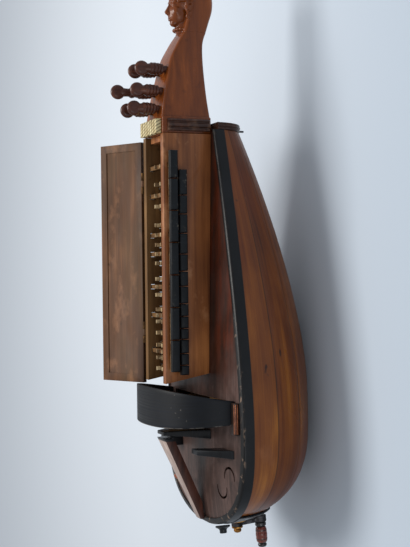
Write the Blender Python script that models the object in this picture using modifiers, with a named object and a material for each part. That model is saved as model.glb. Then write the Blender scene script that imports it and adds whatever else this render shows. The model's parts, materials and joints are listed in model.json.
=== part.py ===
"""A lute-backed hurdy-gurdy: bowl back, soundboard, key box, wheel, crank, pegbox and carved head.

The pieces are placed from the wheel's centre line: +X runs to the head, +Z is up from the soundboard,
and the keys are pressed from the -Y side. A root empty then moves the whole instrument so that the
origin lies under the middle of its box, at the lowest point of the bowl.
All sizes are in metres.
"""
import bpy
import bmesh
import math
from mathutils import Matrix, Vector

# Fits shared by all pieces
GAP = 0.0003            # between pieces that are glued or rest on each other
RUN_GAP = 0.0005        # round a piece that slides or turns
CUT_OVERRUN = 0.004     # how far a cutter passes a face
MERGE_DISTANCE = 0.00001
SMOOTH_ANGLE = math.radians(40)
ROUND_SEGMENTS = 20
SMALL_SEGMENTS = 12

# Strings, which set the distances along the instrument
STRING_LENGTH = 0.345   # from the main bridge to the nut
BRIDGE_X = -0.0285      # main bridge, on the tail side of the wheel
NUT_X = BRIDGE_X + STRING_LENGTH

# Wheel, which sets how wide and deep the bowl is
WHEEL_RADIUS = 0.082
AXLE_DROP = 0.024               # the axle's depth under the bowl's rim, at the wheel
WHEEL_TOP = WHEEL_RADIUS - AXLE_DROP
WHEEL_SIDE_ROOM = 0.030         # from the wheel's rim to the bowl's side
WHEEL_FLOOR_ROOM = 0.0105       # and to its lowest stave

# Bowl
HALF_WIDTH = WHEEL_RADIUS + WHEEL_SIDE_ROOM
BODY_DEPTH = 2 * WHEEL_RADIUS - WHEEL_TOP + WHEEL_FLOOR_ROOM
NECK_JOINT = 0.0075             # from where the bowl ends to the nut
BODY_HEAD_X = NUT_X - NECK_JOINT
BODY_TAIL_X = -0.131
FULL_HEAD_X = 0.030     # the bowl is deepest between these two
FULL_TAIL_X = -0.020    # and widest here
SHELL = 0.003
STAVES = 9
NECK_WIDTH_SHARE = 0.37         # of the body's width, at its head end
NECK_DEPTH_SHARE = 0.345
WIDTH_TAPER_POWER = 1.45
DEPTH_TAPER_POWER = 1.56
TAIL_POWER = 3.2                # how square the rounded tail is across
DEPTH_TAIL_POWER = 2.3          # and how square its underside is, along the instrument
DEPTH_TAIL_ROUND = 2.4
HEAD_STEPS = 9
TAIL_STEPS = 6
LAST_TAIL_SHARE = 0.12          # of the full width, where the staves end under the clasp

# Soundboard
BOARD = 0.003
CROWN = 0.007
BOARD_SPANS = 12
BOARD_SEAT = SHELL * math.sin(math.pi / STAVES / 2) + GAP
SLOT_CLEARANCE = 0.0015
HOLE_LINE = 0.0024              # width of a sound hole's line
HOLE_RADIUS = 0.011
OUTER_HOLE_X = -0.071
OUTER_HOLE_ROOM = 0.034         # from the bowl's side
OUTER_HOLE_Y = HALF_WIDTH - OUTER_HOLE_ROOM
INNER_HOLE_X = -0.084
INNER_HOLE_ROOM = 0.052
INNER_HOLE_Y = HALF_WIDTH - INNER_HOLE_ROOM
HOLE_TURN_SHARE = 0.56          # of a full circle
HOLE_STEPS = 12

# Edging round the soundboard
EDGING_WIDTH = 0.0055
EDGING_HEIGHT = 0.0016
EDGING_LIP = 0.0016
EDGING_DROP = 0.0075
EDGING_ROUND = 0.0026
EDGING_NECK_SHARE = 0.5         # how much narrower it gets as the body narrows to nothing

# Brace and crossbar inside
BRACE_X = 0.150
BRACE_WIDTH = 0.010
BRACE_HEIGHT = 0.014
CROSSBAR_WIDTH = 0.016
CROSSBAR_HEIGHT = 0.026
CROSSBAR_X = 0.017

# Wheel and axle
WHEEL_WIDTH = 0.012
WHEEL_DISH = 0.0025
HUB_RADIUS = 0.018
HUB_WIDTH = 0.020
AXLE_RADIUS = 0.005
AXLE_TILT = math.radians(5)     # the axle sinks towards the tail
AXLE_Z = -AXLE_DROP
WHEEL_SEGMENTS = 56

# Tail block, bush and clasp
TAIL_BLOCK_LENGTH = 0.022
BUSH_RADIUS = 0.009
BUSH_FLANGE_RADIUS = 0.0115
BUSH_FLANGE = 0.002
CLASP_THICKNESS = 0.002
CLASP_START_SHARE = 0.62        # of the full width, where the clasp begins
CLASP_STEPS = 5

# Crank
CRANK_RADIUS = 0.0295
CRANK_ARM_WIDTH = 0.0065
CRANK_ARM_THICKNESS = 0.0045
CRANK_EYE_RADIUS = 0.0072
CRANK_HUB_RADIUS = 0.0066
CRANK_CLEARANCE = 0.0012        # between the bush flange and the crank hub
NUT_LENGTH = 0.0075
NUT_RADIUS = 0.0064
NUT_LENGTH_SHARES = (0, 0.25, 0.33, 0.50, 0.88, 1)      # a flange, then a dome
NUT_RADIUS_SHARES = (1, 1, 0.70, 0.70, 0.60, 0.50)
SPINDLE_RADIUS = 0.0026
GRIP_LENGTH = 0.030
GRIP_RADIUS = 0.0066
GRIP_NECK_SHARE = 0.74
GRIP_BORE_SHARE = 0.80          # of its length, that the spindle reaches
GRIP_LENGTH_SHARES = (0.02, 0.10, 0.22, 0.45, 0.70, 0.80, 0.88)
GRIP_RADIUS_SHARES = (0.86, 0.74, 0.94, 1.0, 0.94, 0.74, 0.82)

# Wheel cover and its brackets
COVER_RISE = 0.0165             # over the wheel's top
COVER_TOP = WHEEL_TOP + COVER_RISE
COVER_FOOT_ROOM = 0.0105        # from the wheel's slot to the cover's feet
COVER_THICKNESS = 0.003
COVER_CROWN_X = 0.0035
COVER_FOOT_X = 0.0005
COVER_CROWN_WIDTH = 0.043
COVER_FOOT_WIDTH = 0.024
COVER_STEPS = 28
COVER_SHOULDER_POWER = 0.86
BRACKET_WIDTH = 0.0095
BRACKET_LENGTH = 0.034
BRACKET_THICKNESS = 0.005
BRACKET_TAIL_X = -0.022

# Key box
BOX_TAIL_X = 0.029
NUT_SEAT = 0.012                # from the box's head end to the nut
BOX_HEAD_X = NUT_X - NUT_SEAT
BOX_WIDTH = 0.065
BOX_RISE = 0.003                # of its top over the strings
BOX_TOP = WHEEL_TOP + BOX_RISE
NEAR_WALL = 0.009
FAR_WALL = 0.008
END_WALL = 0.007
TAIL_WALL_DROP = 0.025          # lower than the sides and the keys, so that the strings pass over it
TAIL_WALL_TOP = BOX_TOP - TAIL_WALL_DROP
BOX_TAIL_SLANT = 0.012          # how far the near wall's foot is cut back at the tail end
BOX_NEAR = -BOX_WIDTH / 2
BOX_FAR = BOX_WIDTH / 2

# Lid and hinges
LID_THICKNESS = 0.005
LID_FRAME_WIDTH = 0.009
LID_RECESS = 0.0022
LID_HEAD_MARGIN = 0.003
LID_TAIL_OVERHANG = 0.004
LID_OPEN_ANGLE = math.radians(152)
HINGE_RADIUS = 0.0022
HINGE_PIN_RADIUS = 0.0009
HINGE_SHANK_ROOM = 0.0016       # from a hinge's ends to the keys that show on each side of it
HINGE_LEAF = 0.0010
HINGE_LEAF_DROP = 0.009
HINGE_BETWEEN = ((0, 1), (5, 6))        # the upper keys on each side of a hinge

# Keys
KEY_TRAVEL = 0.005
KEY_HEAD_DEPTH = 0.0070
KEY_HEAD_HEIGHT = 0.0088
KEY_HEAD_SPACE = 0.0010         # between neighbours in a row
KEY_CHAMFER = 0.0010
SHANK_WIDTH = 0.0046
SHANK_HEIGHT = 0.0060
SHANK_TAIL = 0.0025             # how far a shank shows beyond the far wall
LOWER_ROW_DROP = 0.0185         # under the box's top
UPPER_ROW_DROP = 0.0080
LOWER_ROW_Z = BOX_TOP - LOWER_ROW_DROP
UPPER_ROW_Z = BOX_TOP - UPPER_ROW_DROP
TANGENT_WIDTH = 0.0040
TANGENT_THICKNESS = 0.0024
TANGENT_RISE = 0.0010           # over the strings
TANGENT_TOP = WHEEL_TOP + TANGENT_RISE
TANGENT_SPREAD = 0.0085         # of the two melody strings from the middle
KEYS_TAIL_ROOM = 0.0095         # from the box's tail end to the first key
KEYS_HEAD_ROOM = 0.0195
KEYS_TAIL_X = BOX_TAIL_X + KEYS_TAIL_ROOM
KEYS_HEAD_X = BOX_HEAD_X - KEYS_HEAD_ROOM
LOWER_EDGE_SHARES = (0, 0.045, 0.097, 0.160, 0.208, 0.262, 0.318, 0.395, 0.462, 0.538, 0.630, 0.716, 0.800,
                     0.915)
UPPER_EDGE_SHARES = (0.015, 0.158, 0.302, 0.446, 0.590, 0.732, 0.874, 1.0)
UPPER_BETWEEN = ((1, 2), (4, 5), (6, 7), (8, 9), (9, 10), (11, 12))

# Nut
NUT_BLOCK_LENGTH = 0.016
NUT_BLOCK_WIDTH = 0.052
NUT_BLOCK_HEIGHT = 0.006
NUT_GROOVES = 6
NUT_GROOVE = 0.0016

# Pegbox and its pegs
PEGBOX_ROOM = 0.003             # from the nut to the pegbox
PEGBOX_LENGTH = 0.1015
PEGBOX_START_X = NUT_X + PEGBOX_ROOM
PEGBOX_END_X = PEGBOX_START_X + PEGBOX_LENGTH
PEGBOX_HALF_WIDTH = 0.0265
PEGBOX_END_SHARE = 0.60         # of that half width, at the head
PEGBOX_RISE = 0.0025            # of its top over the strings
PEGBOX_TOP = WHEEL_TOP + PEGBOX_RISE
PEGBOX_LENGTH_SHARES = (0, 0.25, 0.50, 0.70, 0.85, 0.93, 1)
PEGBOX_TOP_SHARES = (1, 0.93, 0.84, 0.75, 0.62, 0.54, 0.46)
PEGBOX_BACK_SHARES = (0.02, 0.07, 0.10, 0.11, 0.10, 0.07, 0.02)
PEGBOX_EDGE = 0.004
NECK_PLATE = 0.008
NECK_SHOULDER_HALF_WIDTH = 0.030
PEG_SHARES = (0.135, 0.335, 0.575)      # along the pegbox
PEG_SPREAD = 0.0115             # of the two rows from the middle
PEG_RADIUS = 0.0040
PEG_TIP_SHARE = 0.78
PEG_SINK = 0.024
PEG_HEIGHT = 0.037
PEG_TALL_EXTRA = 0.015          # the far middle peg stands higher
PEG_HEAD_WIDTH = 0.0170
PEG_HEAD_THICKNESS = 0.0088
PEG_COLLAR_RADIUS = 0.0068
PEG_COLLAR_SHARES = (0.22, 0.30, 0.38, 0.46, 0.54)      # of the height: foot, ring, waist, ring, waist
PEG_HEAD_SHARES = (0.68, 0.84, 0.95)                    # and where the flat head is wide and where it rounds over
PEG_ROUNDING_SHARE = 0.75       # of the head's width and thickness, where it rounds over
PEG_CROWN_SHARE = 0.35          # and at its top

# Carved head
SCROLL_LENGTH = 0.060           # of the scrolled back behind the head, from the pegbox up
HEAD_TOP_X = PEGBOX_END_X + SCROLL_LENGTH
SCROLL_LENGTH_SHARES = (0, 0.2, 0.45, 0.7, 0.88, 1)
SCROLL_BACK = (0.0015, -0.003, -0.008, -0.0085, -0.004, 0.004)
SCROLL_FRONT = (0.0275, 0.026, 0.026, 0.026, 0.024, 0.017)
SCROLL_HALF_WIDTH = 0.0158
SCROLL_WIDTH_SHARES = (0.98, 0.98, 1, 0.98, 0.80, 0.40)
HEAD_LENGTH = 0.047
HEAD_TOP_ROOM = 0.006           # from the scroll's top to the head's
HEAD_HALF_WIDTH = 0.0150
HEAD_HALF_DEPTH = 0.0195
HEAD_CENTER_Z = 0.0245
HAIR_THICKNESS = 0.0030
NOSE_LENGTH = 0.0105
NOSE_WIDTH = 0.0070
NOSE_HEIGHT = 0.0065
HAIR_SHIFT_SHARE = 0.2          # of the hair's thickness
NOSE_DROP_SHARE = 0.25          # of its length, below the middle of the head
NOSE_SINK_SHARE = 0.1           # of its height
NOSE_SEGMENTS = 10
NOSE_RINGS = 6
HEAD_SEGMENTS = 24
HEAD_RINGS = 14

# Bridges
BRIDGE_FOOT_HALF = 0.040
BRIDGE_TOP_HALF = 0.010
BRIDGE_FOOT_THICKNESS = 0.012
BRIDGE_TOP_THICKNESS = 0.004
BRIDGE_DROP = 0.0015            # of the tops of bridge and tailpiece under the wheel's
TAILPIECE_DROP = 0.0020
BRIDGE_TOP = WHEEL_TOP - BRIDGE_DROP
BRIDGE_LENGTH_SHARES = (0, 0.18, 0.55, 1)
BRIDGE_WIDTH_SHARES = (0, 0.10, 0.62, 1)
DRONE_X = -0.0445
DRONE_FOOT_ROOM = 0.028         # from the bowl's side
DRONE_FOOT_Y = HALF_WIDTH - DRONE_FOOT_ROOM
DRONE_TOP_ROOM = 0.062
DRONE_TOP_Y = HALF_WIDTH - DRONE_TOP_ROOM
DRONE_TOP = 0.036
DRONE_FOOT_HALF = 0.014
DRONE_TOP_HALF = 0.008
DRONE_THICKNESS = 0.010
TROMPETTE_X = -0.046
TROMPETTE_ROOM = 0.046
TROMPETTE_Y = HALF_WIDTH - TROMPETTE_ROOM
TROMPETTE_LENGTH = 0.030
TROMPETTE_WIDTH = 0.012
TROMPETTE_TOP = 0.026

# Tailpiece and its tension peg
TAILPIECE_HEAD_X = -0.0345
TAILPIECE_TAIL_X = -0.1285
TAILPIECE_TOP = WHEEL_TOP - TAILPIECE_DROP
TAILPIECE_TAIL_TOP = 0.0115
TAILPIECE_THICKNESS = 0.0115
TAILPIECE_HEAD_HALF = 0.0125
TAILPIECE_TAIL_HALF = 0.0060
TENSION_PEG_SHARE = 0.52        # along the tailpiece from its head end
TENSION_PEG_RADIUS = 0.0028
TENSION_PEG_LENGTH = 0.022
TENSION_COLLAR_RADIUS = 0.0048
TENSION_COLLAR = 0.004
TENSION_PEG_SINK = 0.007

# Strap fittings and the knob
BUTTON_BASE_RADIUS = 0.0082
BUTTON_END_RADIUS = 0.0040
BUTTON_LENGTH = 0.0090
BUTTON_SIDE_SHARE = 0.34        # of the half width, to the near side, clear of the crank's circle
BUTTON_Z = -0.0015
KNOB_RADIUS = 0.0062
KNOB_LENGTH = 0.0080
KNOB_STEM_RADIUS = 0.0035
KNOB_ANGLE = math.radians(46)   # below the level of the tail
KNOB_SINK = 0.004
KNOB_EDGE_SHARE = 0.7           # of its radius and length, where it rounds over
KNOB_DEPTH_SHARE = 0.55         # of the body's full depth
KNOB_SPACE_SHARE = 0.85
STRAP_PIN_RADIUS = 0.0012
STRAP_PIN_LENGTH = 0.010
STRAP_PIN_SINK = 0.004


# The empty scene and its collections
for old in list(bpy.data.objects):
    bpy.data.objects.remove(old, do_unlink=True)

parts = bpy.data.collections.new("hurdy_gurdy")
cutters = bpy.data.collections.new("cutters")
for group in (parts, cutters):
    bpy.context.scene.collection.children.link(group)


def empty(name, location=(0, 0, 0), rotation=(0, 0, 0), parent=None):
    """An axis or a frame that pieces hang on."""
    frame = bpy.data.objects.new(name, None)
    parts.objects.link(frame)
    frame.location = location
    frame.rotation_euler = rotation
    frame.parent = parent
    return frame


root = empty("instrument")


# Finishes
def finish(name, color, roughness, metallic=0.0):
    material = bpy.data.materials.new(name)
    material.use_nodes = True
    shader = material.node_tree.nodes["Principled BSDF"]
    shader.inputs["Base Color"].default_value = (*color, 1)
    shader.inputs["Roughness"].default_value = roughness
    shader.inputs["Metallic"].default_value = metallic
    material.diffuse_color = (*color, 1)
    return material


def bowl_wood(name):
    return finish(name, (0.20, 0.075, 0.018), 0.32)


def red_wood(name):
    return finish(name, (0.15, 0.050, 0.022), 0.40)


def board_wood(name):
    return finish(name, (0.075, 0.040, 0.032), 0.50)


def plain_wood(name):
    return finish(name, (0.30, 0.19, 0.10), 0.60)


def black_wood(name):
    return finish(name, (0.016, 0.018, 0.022), 0.35)


def key_black(name):
    return finish(name, (0.013, 0.020, 0.028), 0.30)


def bone(name):
    return finish(name, (0.62, 0.54, 0.36), 0.45)


def brass(name):
    return finish(name, (0.65, 0.42, 0.14), 0.30, 1.0)


def iron(name):
    return finish(name, (0.045, 0.045, 0.050), 0.45, 1.0)


def peg_wood(name):
    return finish(name, (0.16, 0.055, 0.028), 0.35)


# Building blocks
def add_piece(name, mesh, material=None, location=(0, 0, 0), rotation=(0, 0, 0), parent=root):
    """Put a mesh in the model as one named piece, or among the cutters if it has no finish."""
    piece = bpy.data.objects.new(name, mesh)
    (parts if material else cutters).objects.link(piece)
    if material:
        mesh.materials.append(material(name))
    else:
        piece.hide_render = True
        piece.display_type = "WIRE"
    piece.location = location
    piece.rotation_euler = rotation
    piece.parent = parent
    return piece


def mesh_from(builder, name):
    mesh = bpy.data.meshes.new(name)
    builder.to_mesh(mesh)
    builder.free()
    return mesh


def box_mesh(name, low, high):
    builder = bmesh.new()
    bmesh.ops.create_cube(builder, size=1)
    size = [top - bottom for bottom, top in zip(low, high)]
    middle = [(top + bottom) / 2 for bottom, top in zip(low, high)]
    bmesh.ops.scale(builder, vec=size, verts=builder.verts)
    bmesh.ops.translate(builder, vec=middle, verts=builder.verts)
    return mesh_from(builder, name)


def boxes_mesh(name, spans):
    """Several boxes that don't touch, as one cutter."""
    builder = bmesh.new()
    for low, high in spans:
        size = Vector(high) - Vector(low)
        middle = (Vector(high) + Vector(low)) / 2
        place = Matrix.Translation(middle) @ Matrix.Diagonal((*size, 1))
        bmesh.ops.create_cube(builder, size=1, matrix=place)
    return mesh_from(builder, name)


def loft_mesh(name, rings, smooth=False):
    """A closed body through rings of equally many points, listed from one end to the other."""
    builder = bmesh.new()
    rows = [[builder.verts.new(point) for point in ring] for ring in rings]
    for row, after in zip(rows, rows[1:]):
        for index in range(len(row)):
            onward = (index + 1) % len(row)
            builder.faces.new((row[index], row[onward], after[onward], after[index]))
    builder.faces.new(rows[0][::-1])
    builder.faces.new(rows[-1])
    bmesh.ops.recalc_face_normals(builder, faces=builder.faces)
    for face in builder.faces:
        face.smooth = smooth
    return mesh_from(builder, name)


def cylinder_mesh(name, radius, low, high, segments=ROUND_SEGMENTS, end_radius=None):
    """A round bar or cone along the local Z axis."""
    builder = bmesh.new()
    bmesh.ops.create_cone(builder, cap_ends=True, segments=segments, radius1=radius,
                          radius2=radius if end_radius is None else end_radius, depth=high - low)
    bmesh.ops.translate(builder, vec=(0, 0, (high + low) / 2), verts=builder.verts)
    mesh = mesh_from(builder, name)
    mesh.shade_smooth()
    mesh.set_sharp_from_angle(angle=SMOOTH_ANGLE)
    return mesh


def turned(name, profile, material=None, closed=False, segments=ROUND_SEGMENTS, **place):
    """A turned piece about its local Z axis; the profile of (radius, height) runs down its outer side."""
    builder = bmesh.new()
    points = [builder.verts.new((radius, 0, height)) for radius, height in profile]
    for start, end in zip(points, points[1:]):
        builder.edges.new((start, end))
    if closed:
        builder.edges.new((points[-1], points[0]))
    piece = add_piece(name, mesh_from(builder, name), material, **place)
    screw = piece.modifiers.new("turn", "SCREW")
    screw.steps = screw.render_steps = segments
    screw.use_merge_vertices = True
    screw.merge_threshold = MERGE_DISTANCE
    screw.use_smooth_shade = True
    return piece


def boolean(piece, tool, operation):
    modifier = piece.modifiers.new(operation.lower() + "_" + tool.name, "BOOLEAN")
    modifier.operation = operation
    modifier.object = tool
    return piece


def cut(piece, tool):
    return boolean(piece, tool, "DIFFERENCE")


def join(piece, tool):
    return boolean(piece, tool, "UNION")


def keep_inside(piece, tool):
    return boolean(piece, tool, "INTERSECT")


# The body's outline and depth along X
def full_share(x, inset=0.0):
    """The share of its full width that the rounded tail has at x."""
    reach = (FULL_TAIL_X - x) / (FULL_TAIL_X - BODY_TAIL_X - inset)
    return math.sqrt(max(1 - max(reach, 0) ** TAIL_POWER, 0))


def half_width(x, inset=0.0):
    if x < FULL_TAIL_X:
        return (HALF_WIDTH - inset) * full_share(x, inset)
    along = (x - FULL_TAIL_X) / (BODY_HEAD_X - FULL_TAIL_X)
    return HALF_WIDTH * (1 - (1 - NECK_WIDTH_SHARE) * along ** WIDTH_TAPER_POWER) - inset


def depth(x, inset=0.0):
    if x < FULL_TAIL_X:
        reach = min((FULL_TAIL_X - x) / (FULL_TAIL_X - BODY_TAIL_X - inset), 1)
        return (BODY_DEPTH - inset) * (1 - reach ** DEPTH_TAIL_POWER) ** (1 / DEPTH_TAIL_ROUND)
    along = max((x - FULL_HEAD_X) / (BODY_HEAD_X - FULL_HEAD_X), 0)
    return BODY_DEPTH * (1 - (1 - NECK_DEPTH_SHARE) * along ** DEPTH_TAPER_POWER) - inset


def tail_x(share, inset=0.0):
    """Where the rounded tail has a given share of its full width."""
    length = FULL_TAIL_X - BODY_TAIL_X - inset
    return FULL_TAIL_X - length * (1 - share ** 2) ** (1 / TAIL_POWER)


def tail_stations(first_share, last_share, steps, inset=0.0):
    """Stations spaced evenly round the tail's curve."""
    first = math.acos(first_share)
    last = math.acos(last_share)
    angles = [first + (last - first) * step / steps for step in range(steps + 1)]
    return [tail_x(math.cos(angle), inset) for angle in angles]


HEAD_STEP = (FULL_HEAD_X - BODY_HEAD_X) / HEAD_STEPS
head_stations = [BODY_HEAD_X + HEAD_STEP * step for step in range(HEAD_STEPS + 1)]
body_stations = head_stations + tail_stations(1, LAST_TAIL_SHARE, TAIL_STEPS)


def bowl_ring(x, inset=0.0):
    """One polygonal section of the bowl, from the far rim under the back to the near rim."""
    angles = [math.pi * stave / STAVES for stave in range(STAVES + 1)]
    return [(x, half_width(x, inset) * math.cos(a), -depth(x, inset) * math.sin(a)) for a in angles]


def surface_mesh(name, rows):
    """An open sheet of faces between rows of equally many points."""
    builder = bmesh.new()
    grid = [[builder.verts.new(point) for point in row] for row in rows]
    for row, after in zip(grid, grid[1:]):
        for index in range(len(row) - 1):
            builder.faces.new((row[index], row[index + 1], after[index + 1], after[index]))
    return mesh_from(builder, name)


def thicken(piece, thickness, inward=True):
    shell = piece.modifiers.new("wall", "SOLIDIFY")
    shell.thickness = thickness
    shell.offset = -1 if inward else 1
    shell.use_even_offset = True
    return piece


def board_top(x, y):
    """The height of the crowned soundboard's upper face."""
    share = half_width(x) / HALF_WIDTH
    across = min(abs(y) / max(half_width(x), GAP), 1)
    return BOARD_SEAT + BOARD + CROWN * share ** 2 * (1 - across ** 2)


def board_ring(x, low_offset, high_offset, spread=0.0):
    """A section of the soundboard, or of the space under what stands on it."""
    lanes = [2 * lane / BOARD_SPANS - 1 for lane in range(BOARD_SPANS + 1)]
    upper = [(x, lane * (half_width(x) + spread), board_top(x, lane * half_width(x)) + high_offset)
             for lane in lanes]
    lower = [(px, py, pz - high_offset + low_offset) for px, py, pz in reversed(upper)]
    return upper + lower


# The filled inside of the bowl, which trims the blocks and bars that are glued in it
FILL_INSET = SHELL + GAP * 2
fill_stations = head_stations + tail_stations(1, LAST_TAIL_SHARE, TAIL_STEPS, FILL_INSET)
fill = add_piece("bowl_inside", loft_mesh("bowl_inside", [bowl_ring(x, FILL_INSET) for x in fill_stations]))

# What stands on the soundboard is cut by this to its crowned shape
crown_cutter = add_piece(
    "board_space",
    loft_mesh("board_space",
              [board_ring(x, -BODY_DEPTH, GAP, GAP) for x in [BODY_HEAD_X + GAP, *body_stations]]),
)

# The tilted axle line, which the wheel, the axle, the crank and their holes share
axle_line = empty("axle_line", (0, 0, AXLE_Z), (0, -AXLE_TILT, 0), root)
ALONG_X = (0, math.pi / 2, 0)


def axle_cutter(name, radius, low, high):
    mesh = cylinder_mesh(name, radius, low, high)
    return add_piece(name, mesh, rotation=ALONG_X, parent=axle_line)


def axle_distance(x):
    """How far along the axle a station of the body lies."""
    return x / math.cos(AXLE_TILT)


# Bowl, clasp and blocks
def make_bowl():
    bowl = add_piece("bowl_shell", surface_mesh("bowl_shell", [bowl_ring(x) for x in body_stations]), bowl_wood)
    thicken(bowl, SHELL)
    return bowl


def make_clasp():
    outset = -GAP * 2
    stations = tail_stations(CLASP_START_SHARE, LAST_TAIL_SHARE, CLASP_STEPS, outset)
    rows = [bowl_ring(x, outset) for x in stations]
    tip = stations[-1]
    rows.append([(tip - GAP, y * LAST_TAIL_SHARE, z * LAST_TAIL_SHARE) for _, y, z in rows[-1]])
    clasp = add_piece("end_clasp", surface_mesh("end_clasp", rows), black_wood)
    thicken(clasp, CLASP_THICKNESS, inward=False)
    low = (BODY_TAIL_X - CLASP_THICKNESS * 2, -HALF_WIDTH, -EDGING_DROP - GAP)
    high = (FULL_TAIL_X, HALF_WIDTH, CUT_OVERRUN)
    return cut(clasp, add_piece("edging_room", box_mesh("edging_room", low, high)))


def make_tail_block():
    start = BODY_TAIL_X
    end = start + TAIL_BLOCK_LENGTH
    mesh = box_mesh("tail_block", (start, -HALF_WIDTH, -BODY_DEPTH), (end, HALF_WIDTH, -GAP))
    return keep_inside(add_piece("tail_block", mesh, plain_wood), fill)


def make_crossbar():
    low = (CROSSBAR_X, -HALF_WIDTH, AXLE_Z - CROSSBAR_HEIGHT / 2)
    high = (CROSSBAR_X + CROSSBAR_WIDTH, HALF_WIDTH, AXLE_Z + CROSSBAR_HEIGHT / 2)
    bar = add_piece("wheel_crossbar", box_mesh("wheel_crossbar", low, high), plain_wood)
    return keep_inside(bar, fill)


def make_brace():
    low = (BRACE_X, -HALF_WIDTH, -BRACE_HEIGHT)
    high = (BRACE_X + BRACE_WIDTH, HALF_WIDTH, BOARD_SEAT - GAP)
    bar = add_piece("soundboard_brace", box_mesh("soundboard_brace", low, high), plain_wood)
    return keep_inside(bar, fill)


bowl_shell = make_bowl()
end_clasp = make_clasp()
tail_block = make_tail_block()
wheel_crossbar = make_crossbar()
make_brace()

axle_room = axle_cutter("axle_room", AXLE_RADIUS + RUN_GAP, axle_distance(BODY_TAIL_X) - CUT_OVERRUN,
                        axle_distance(CROSSBAR_X + CROSSBAR_WIDTH) + CUT_OVERRUN)
cut(wheel_crossbar, axle_room)
bush_room = axle_cutter("bush_room", BUSH_RADIUS + GAP, axle_distance(BODY_TAIL_X) - TAIL_BLOCK_LENGTH,
                        axle_distance(BODY_TAIL_X + TAIL_BLOCK_LENGTH) + CUT_OVERRUN)
for holed in (tail_block, bowl_shell, end_clasp):
    cut(holed, bush_room)

BUSH_OUTER = axle_distance(tail_x(LAST_TAIL_SHARE)) - CLASP_THICKNESS - GAP * 4 - BUSH_FLANGE
BUSH_INNER = axle_distance(BODY_TAIL_X + TAIL_BLOCK_LENGTH)
BORE = AXLE_RADIUS + RUN_GAP
turned(
    "tail_bush",
    [
        (BUSH_RADIUS, BUSH_INNER),
        (BUSH_RADIUS, BUSH_OUTER + BUSH_FLANGE),
        (BUSH_FLANGE_RADIUS, BUSH_OUTER + BUSH_FLANGE),
        (BUSH_FLANGE_RADIUS, BUSH_OUTER),
        (BORE, BUSH_OUTER),
        (BORE, BUSH_INNER),
    ],
    brass, closed=True, rotation=ALONG_X, parent=axle_line,
)


# Soundboard
def hole_cutter(name, x, y, opening):
    """A sound hole's C: an arc of a narrow line, whose middle points along opening."""
    turn = HOLE_TURN_SHARE * 2 * math.pi
    rings = []
    for step in range(HOLE_STEPS + 1):
        angle = opening - turn / 2 + turn * step / HOLE_STEPS
        taper = 1 - (2 * step / HOLE_STEPS - 1) ** 4 / 2
        inner = HOLE_RADIUS - HOLE_LINE * taper / 2
        outer = HOLE_RADIUS + HOLE_LINE * taper / 2
        across = Vector((math.cos(angle), math.sin(angle), 0))
        top = Vector((0, 0, BOARD_SEAT + BOARD + CROWN + CUT_OVERRUN))
        middle = Vector((x, y, 0))
        rings.append([middle + across * inner, middle + across * outer,
                      middle + across * outer + top, middle + across * inner + top])
    return add_piece(name, loft_mesh(name, rings))


SLOT_HALF = math.sqrt(WHEEL_RADIUS ** 2 - AXLE_Z ** 2) + SLOT_CLEARANCE


def wheel_slot():
    lean = WHEEL_TOP * math.sin(AXLE_TILT)
    side = WHEEL_WIDTH / 2 + lean + SLOT_CLEARANCE
    low = (-side, -SLOT_HALF, -CUT_OVERRUN)
    high = (side, SLOT_HALF, BOARD_SEAT + BOARD + CROWN + CUT_OVERRUN)
    return add_piece("wheel_slot", box_mesh("wheel_slot", low, high))


def make_soundboard():
    rings = [board_ring(x, -BOARD, 0) for x in body_stations]
    board = add_piece("soundboard", loft_mesh("soundboard", rings), board_wood)
    cut(board, wheel_slot())
    for side in (-1, 1):
        label = "near" if side < 0 else "far"
        cut(board, hole_cutter(label + "_outer_hole", OUTER_HOLE_X, side * OUTER_HOLE_Y, 0))
        cut(board, hole_cutter(label + "_inner_hole", INNER_HOLE_X, side * INNER_HOLE_Y, math.pi))
    return board


def edging_ring(point, outward):
    """A section of the edging: it lies on the soundboard and hangs over its side."""
    x, y = point
    share = half_width(max(x, FULL_HEAD_X)) / HALF_WIDTH
    width = EDGING_WIDTH * (EDGING_NECK_SHARE + (1 - EDGING_NECK_SHARE) * share)
    inner = Vector(point) - width * outward
    wall = Vector(point) + GAP * outward
    face = wall + EDGING_LIP * outward
    shoulder = face - EDGING_ROUND * outward
    edge_top = board_top(x, y) + GAP
    inner_top = board_top(inner.x, inner.y) + GAP
    return [
        (*face, -EDGING_DROP),
        (*face, edge_top + EDGING_HEIGHT - EDGING_ROUND),
        (*shoulder, edge_top + EDGING_HEIGHT),
        (*inner, inner_top + EDGING_HEIGHT),
        (*inner, inner_top),
        (*wall, edge_top),
        (*wall, -EDGING_DROP),
    ]


def make_edging():
    far_side = [(x, half_width(x)) for x in body_stations]
    near_side = [(x, -y) for x, y in reversed(far_side)]
    outline = far_side + near_side
    rings = []
    for index, point in enumerate(outline):
        before = outline[max(index - 1, 0)]
        after = outline[min(index + 1, len(outline) - 1)]
        along = (Vector(after) - Vector(before)).normalized()
        at_neck = index in (0, len(outline) - 1)
        outward = Vector((0, math.copysign(1, point[1]))) if at_neck else Vector((along.y, -along.x))
        rings.append(edging_ring(point, outward))
    return add_piece("soundboard_edging", loft_mesh("soundboard_edging", rings), black_wood)


make_soundboard()
make_edging()


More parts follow.
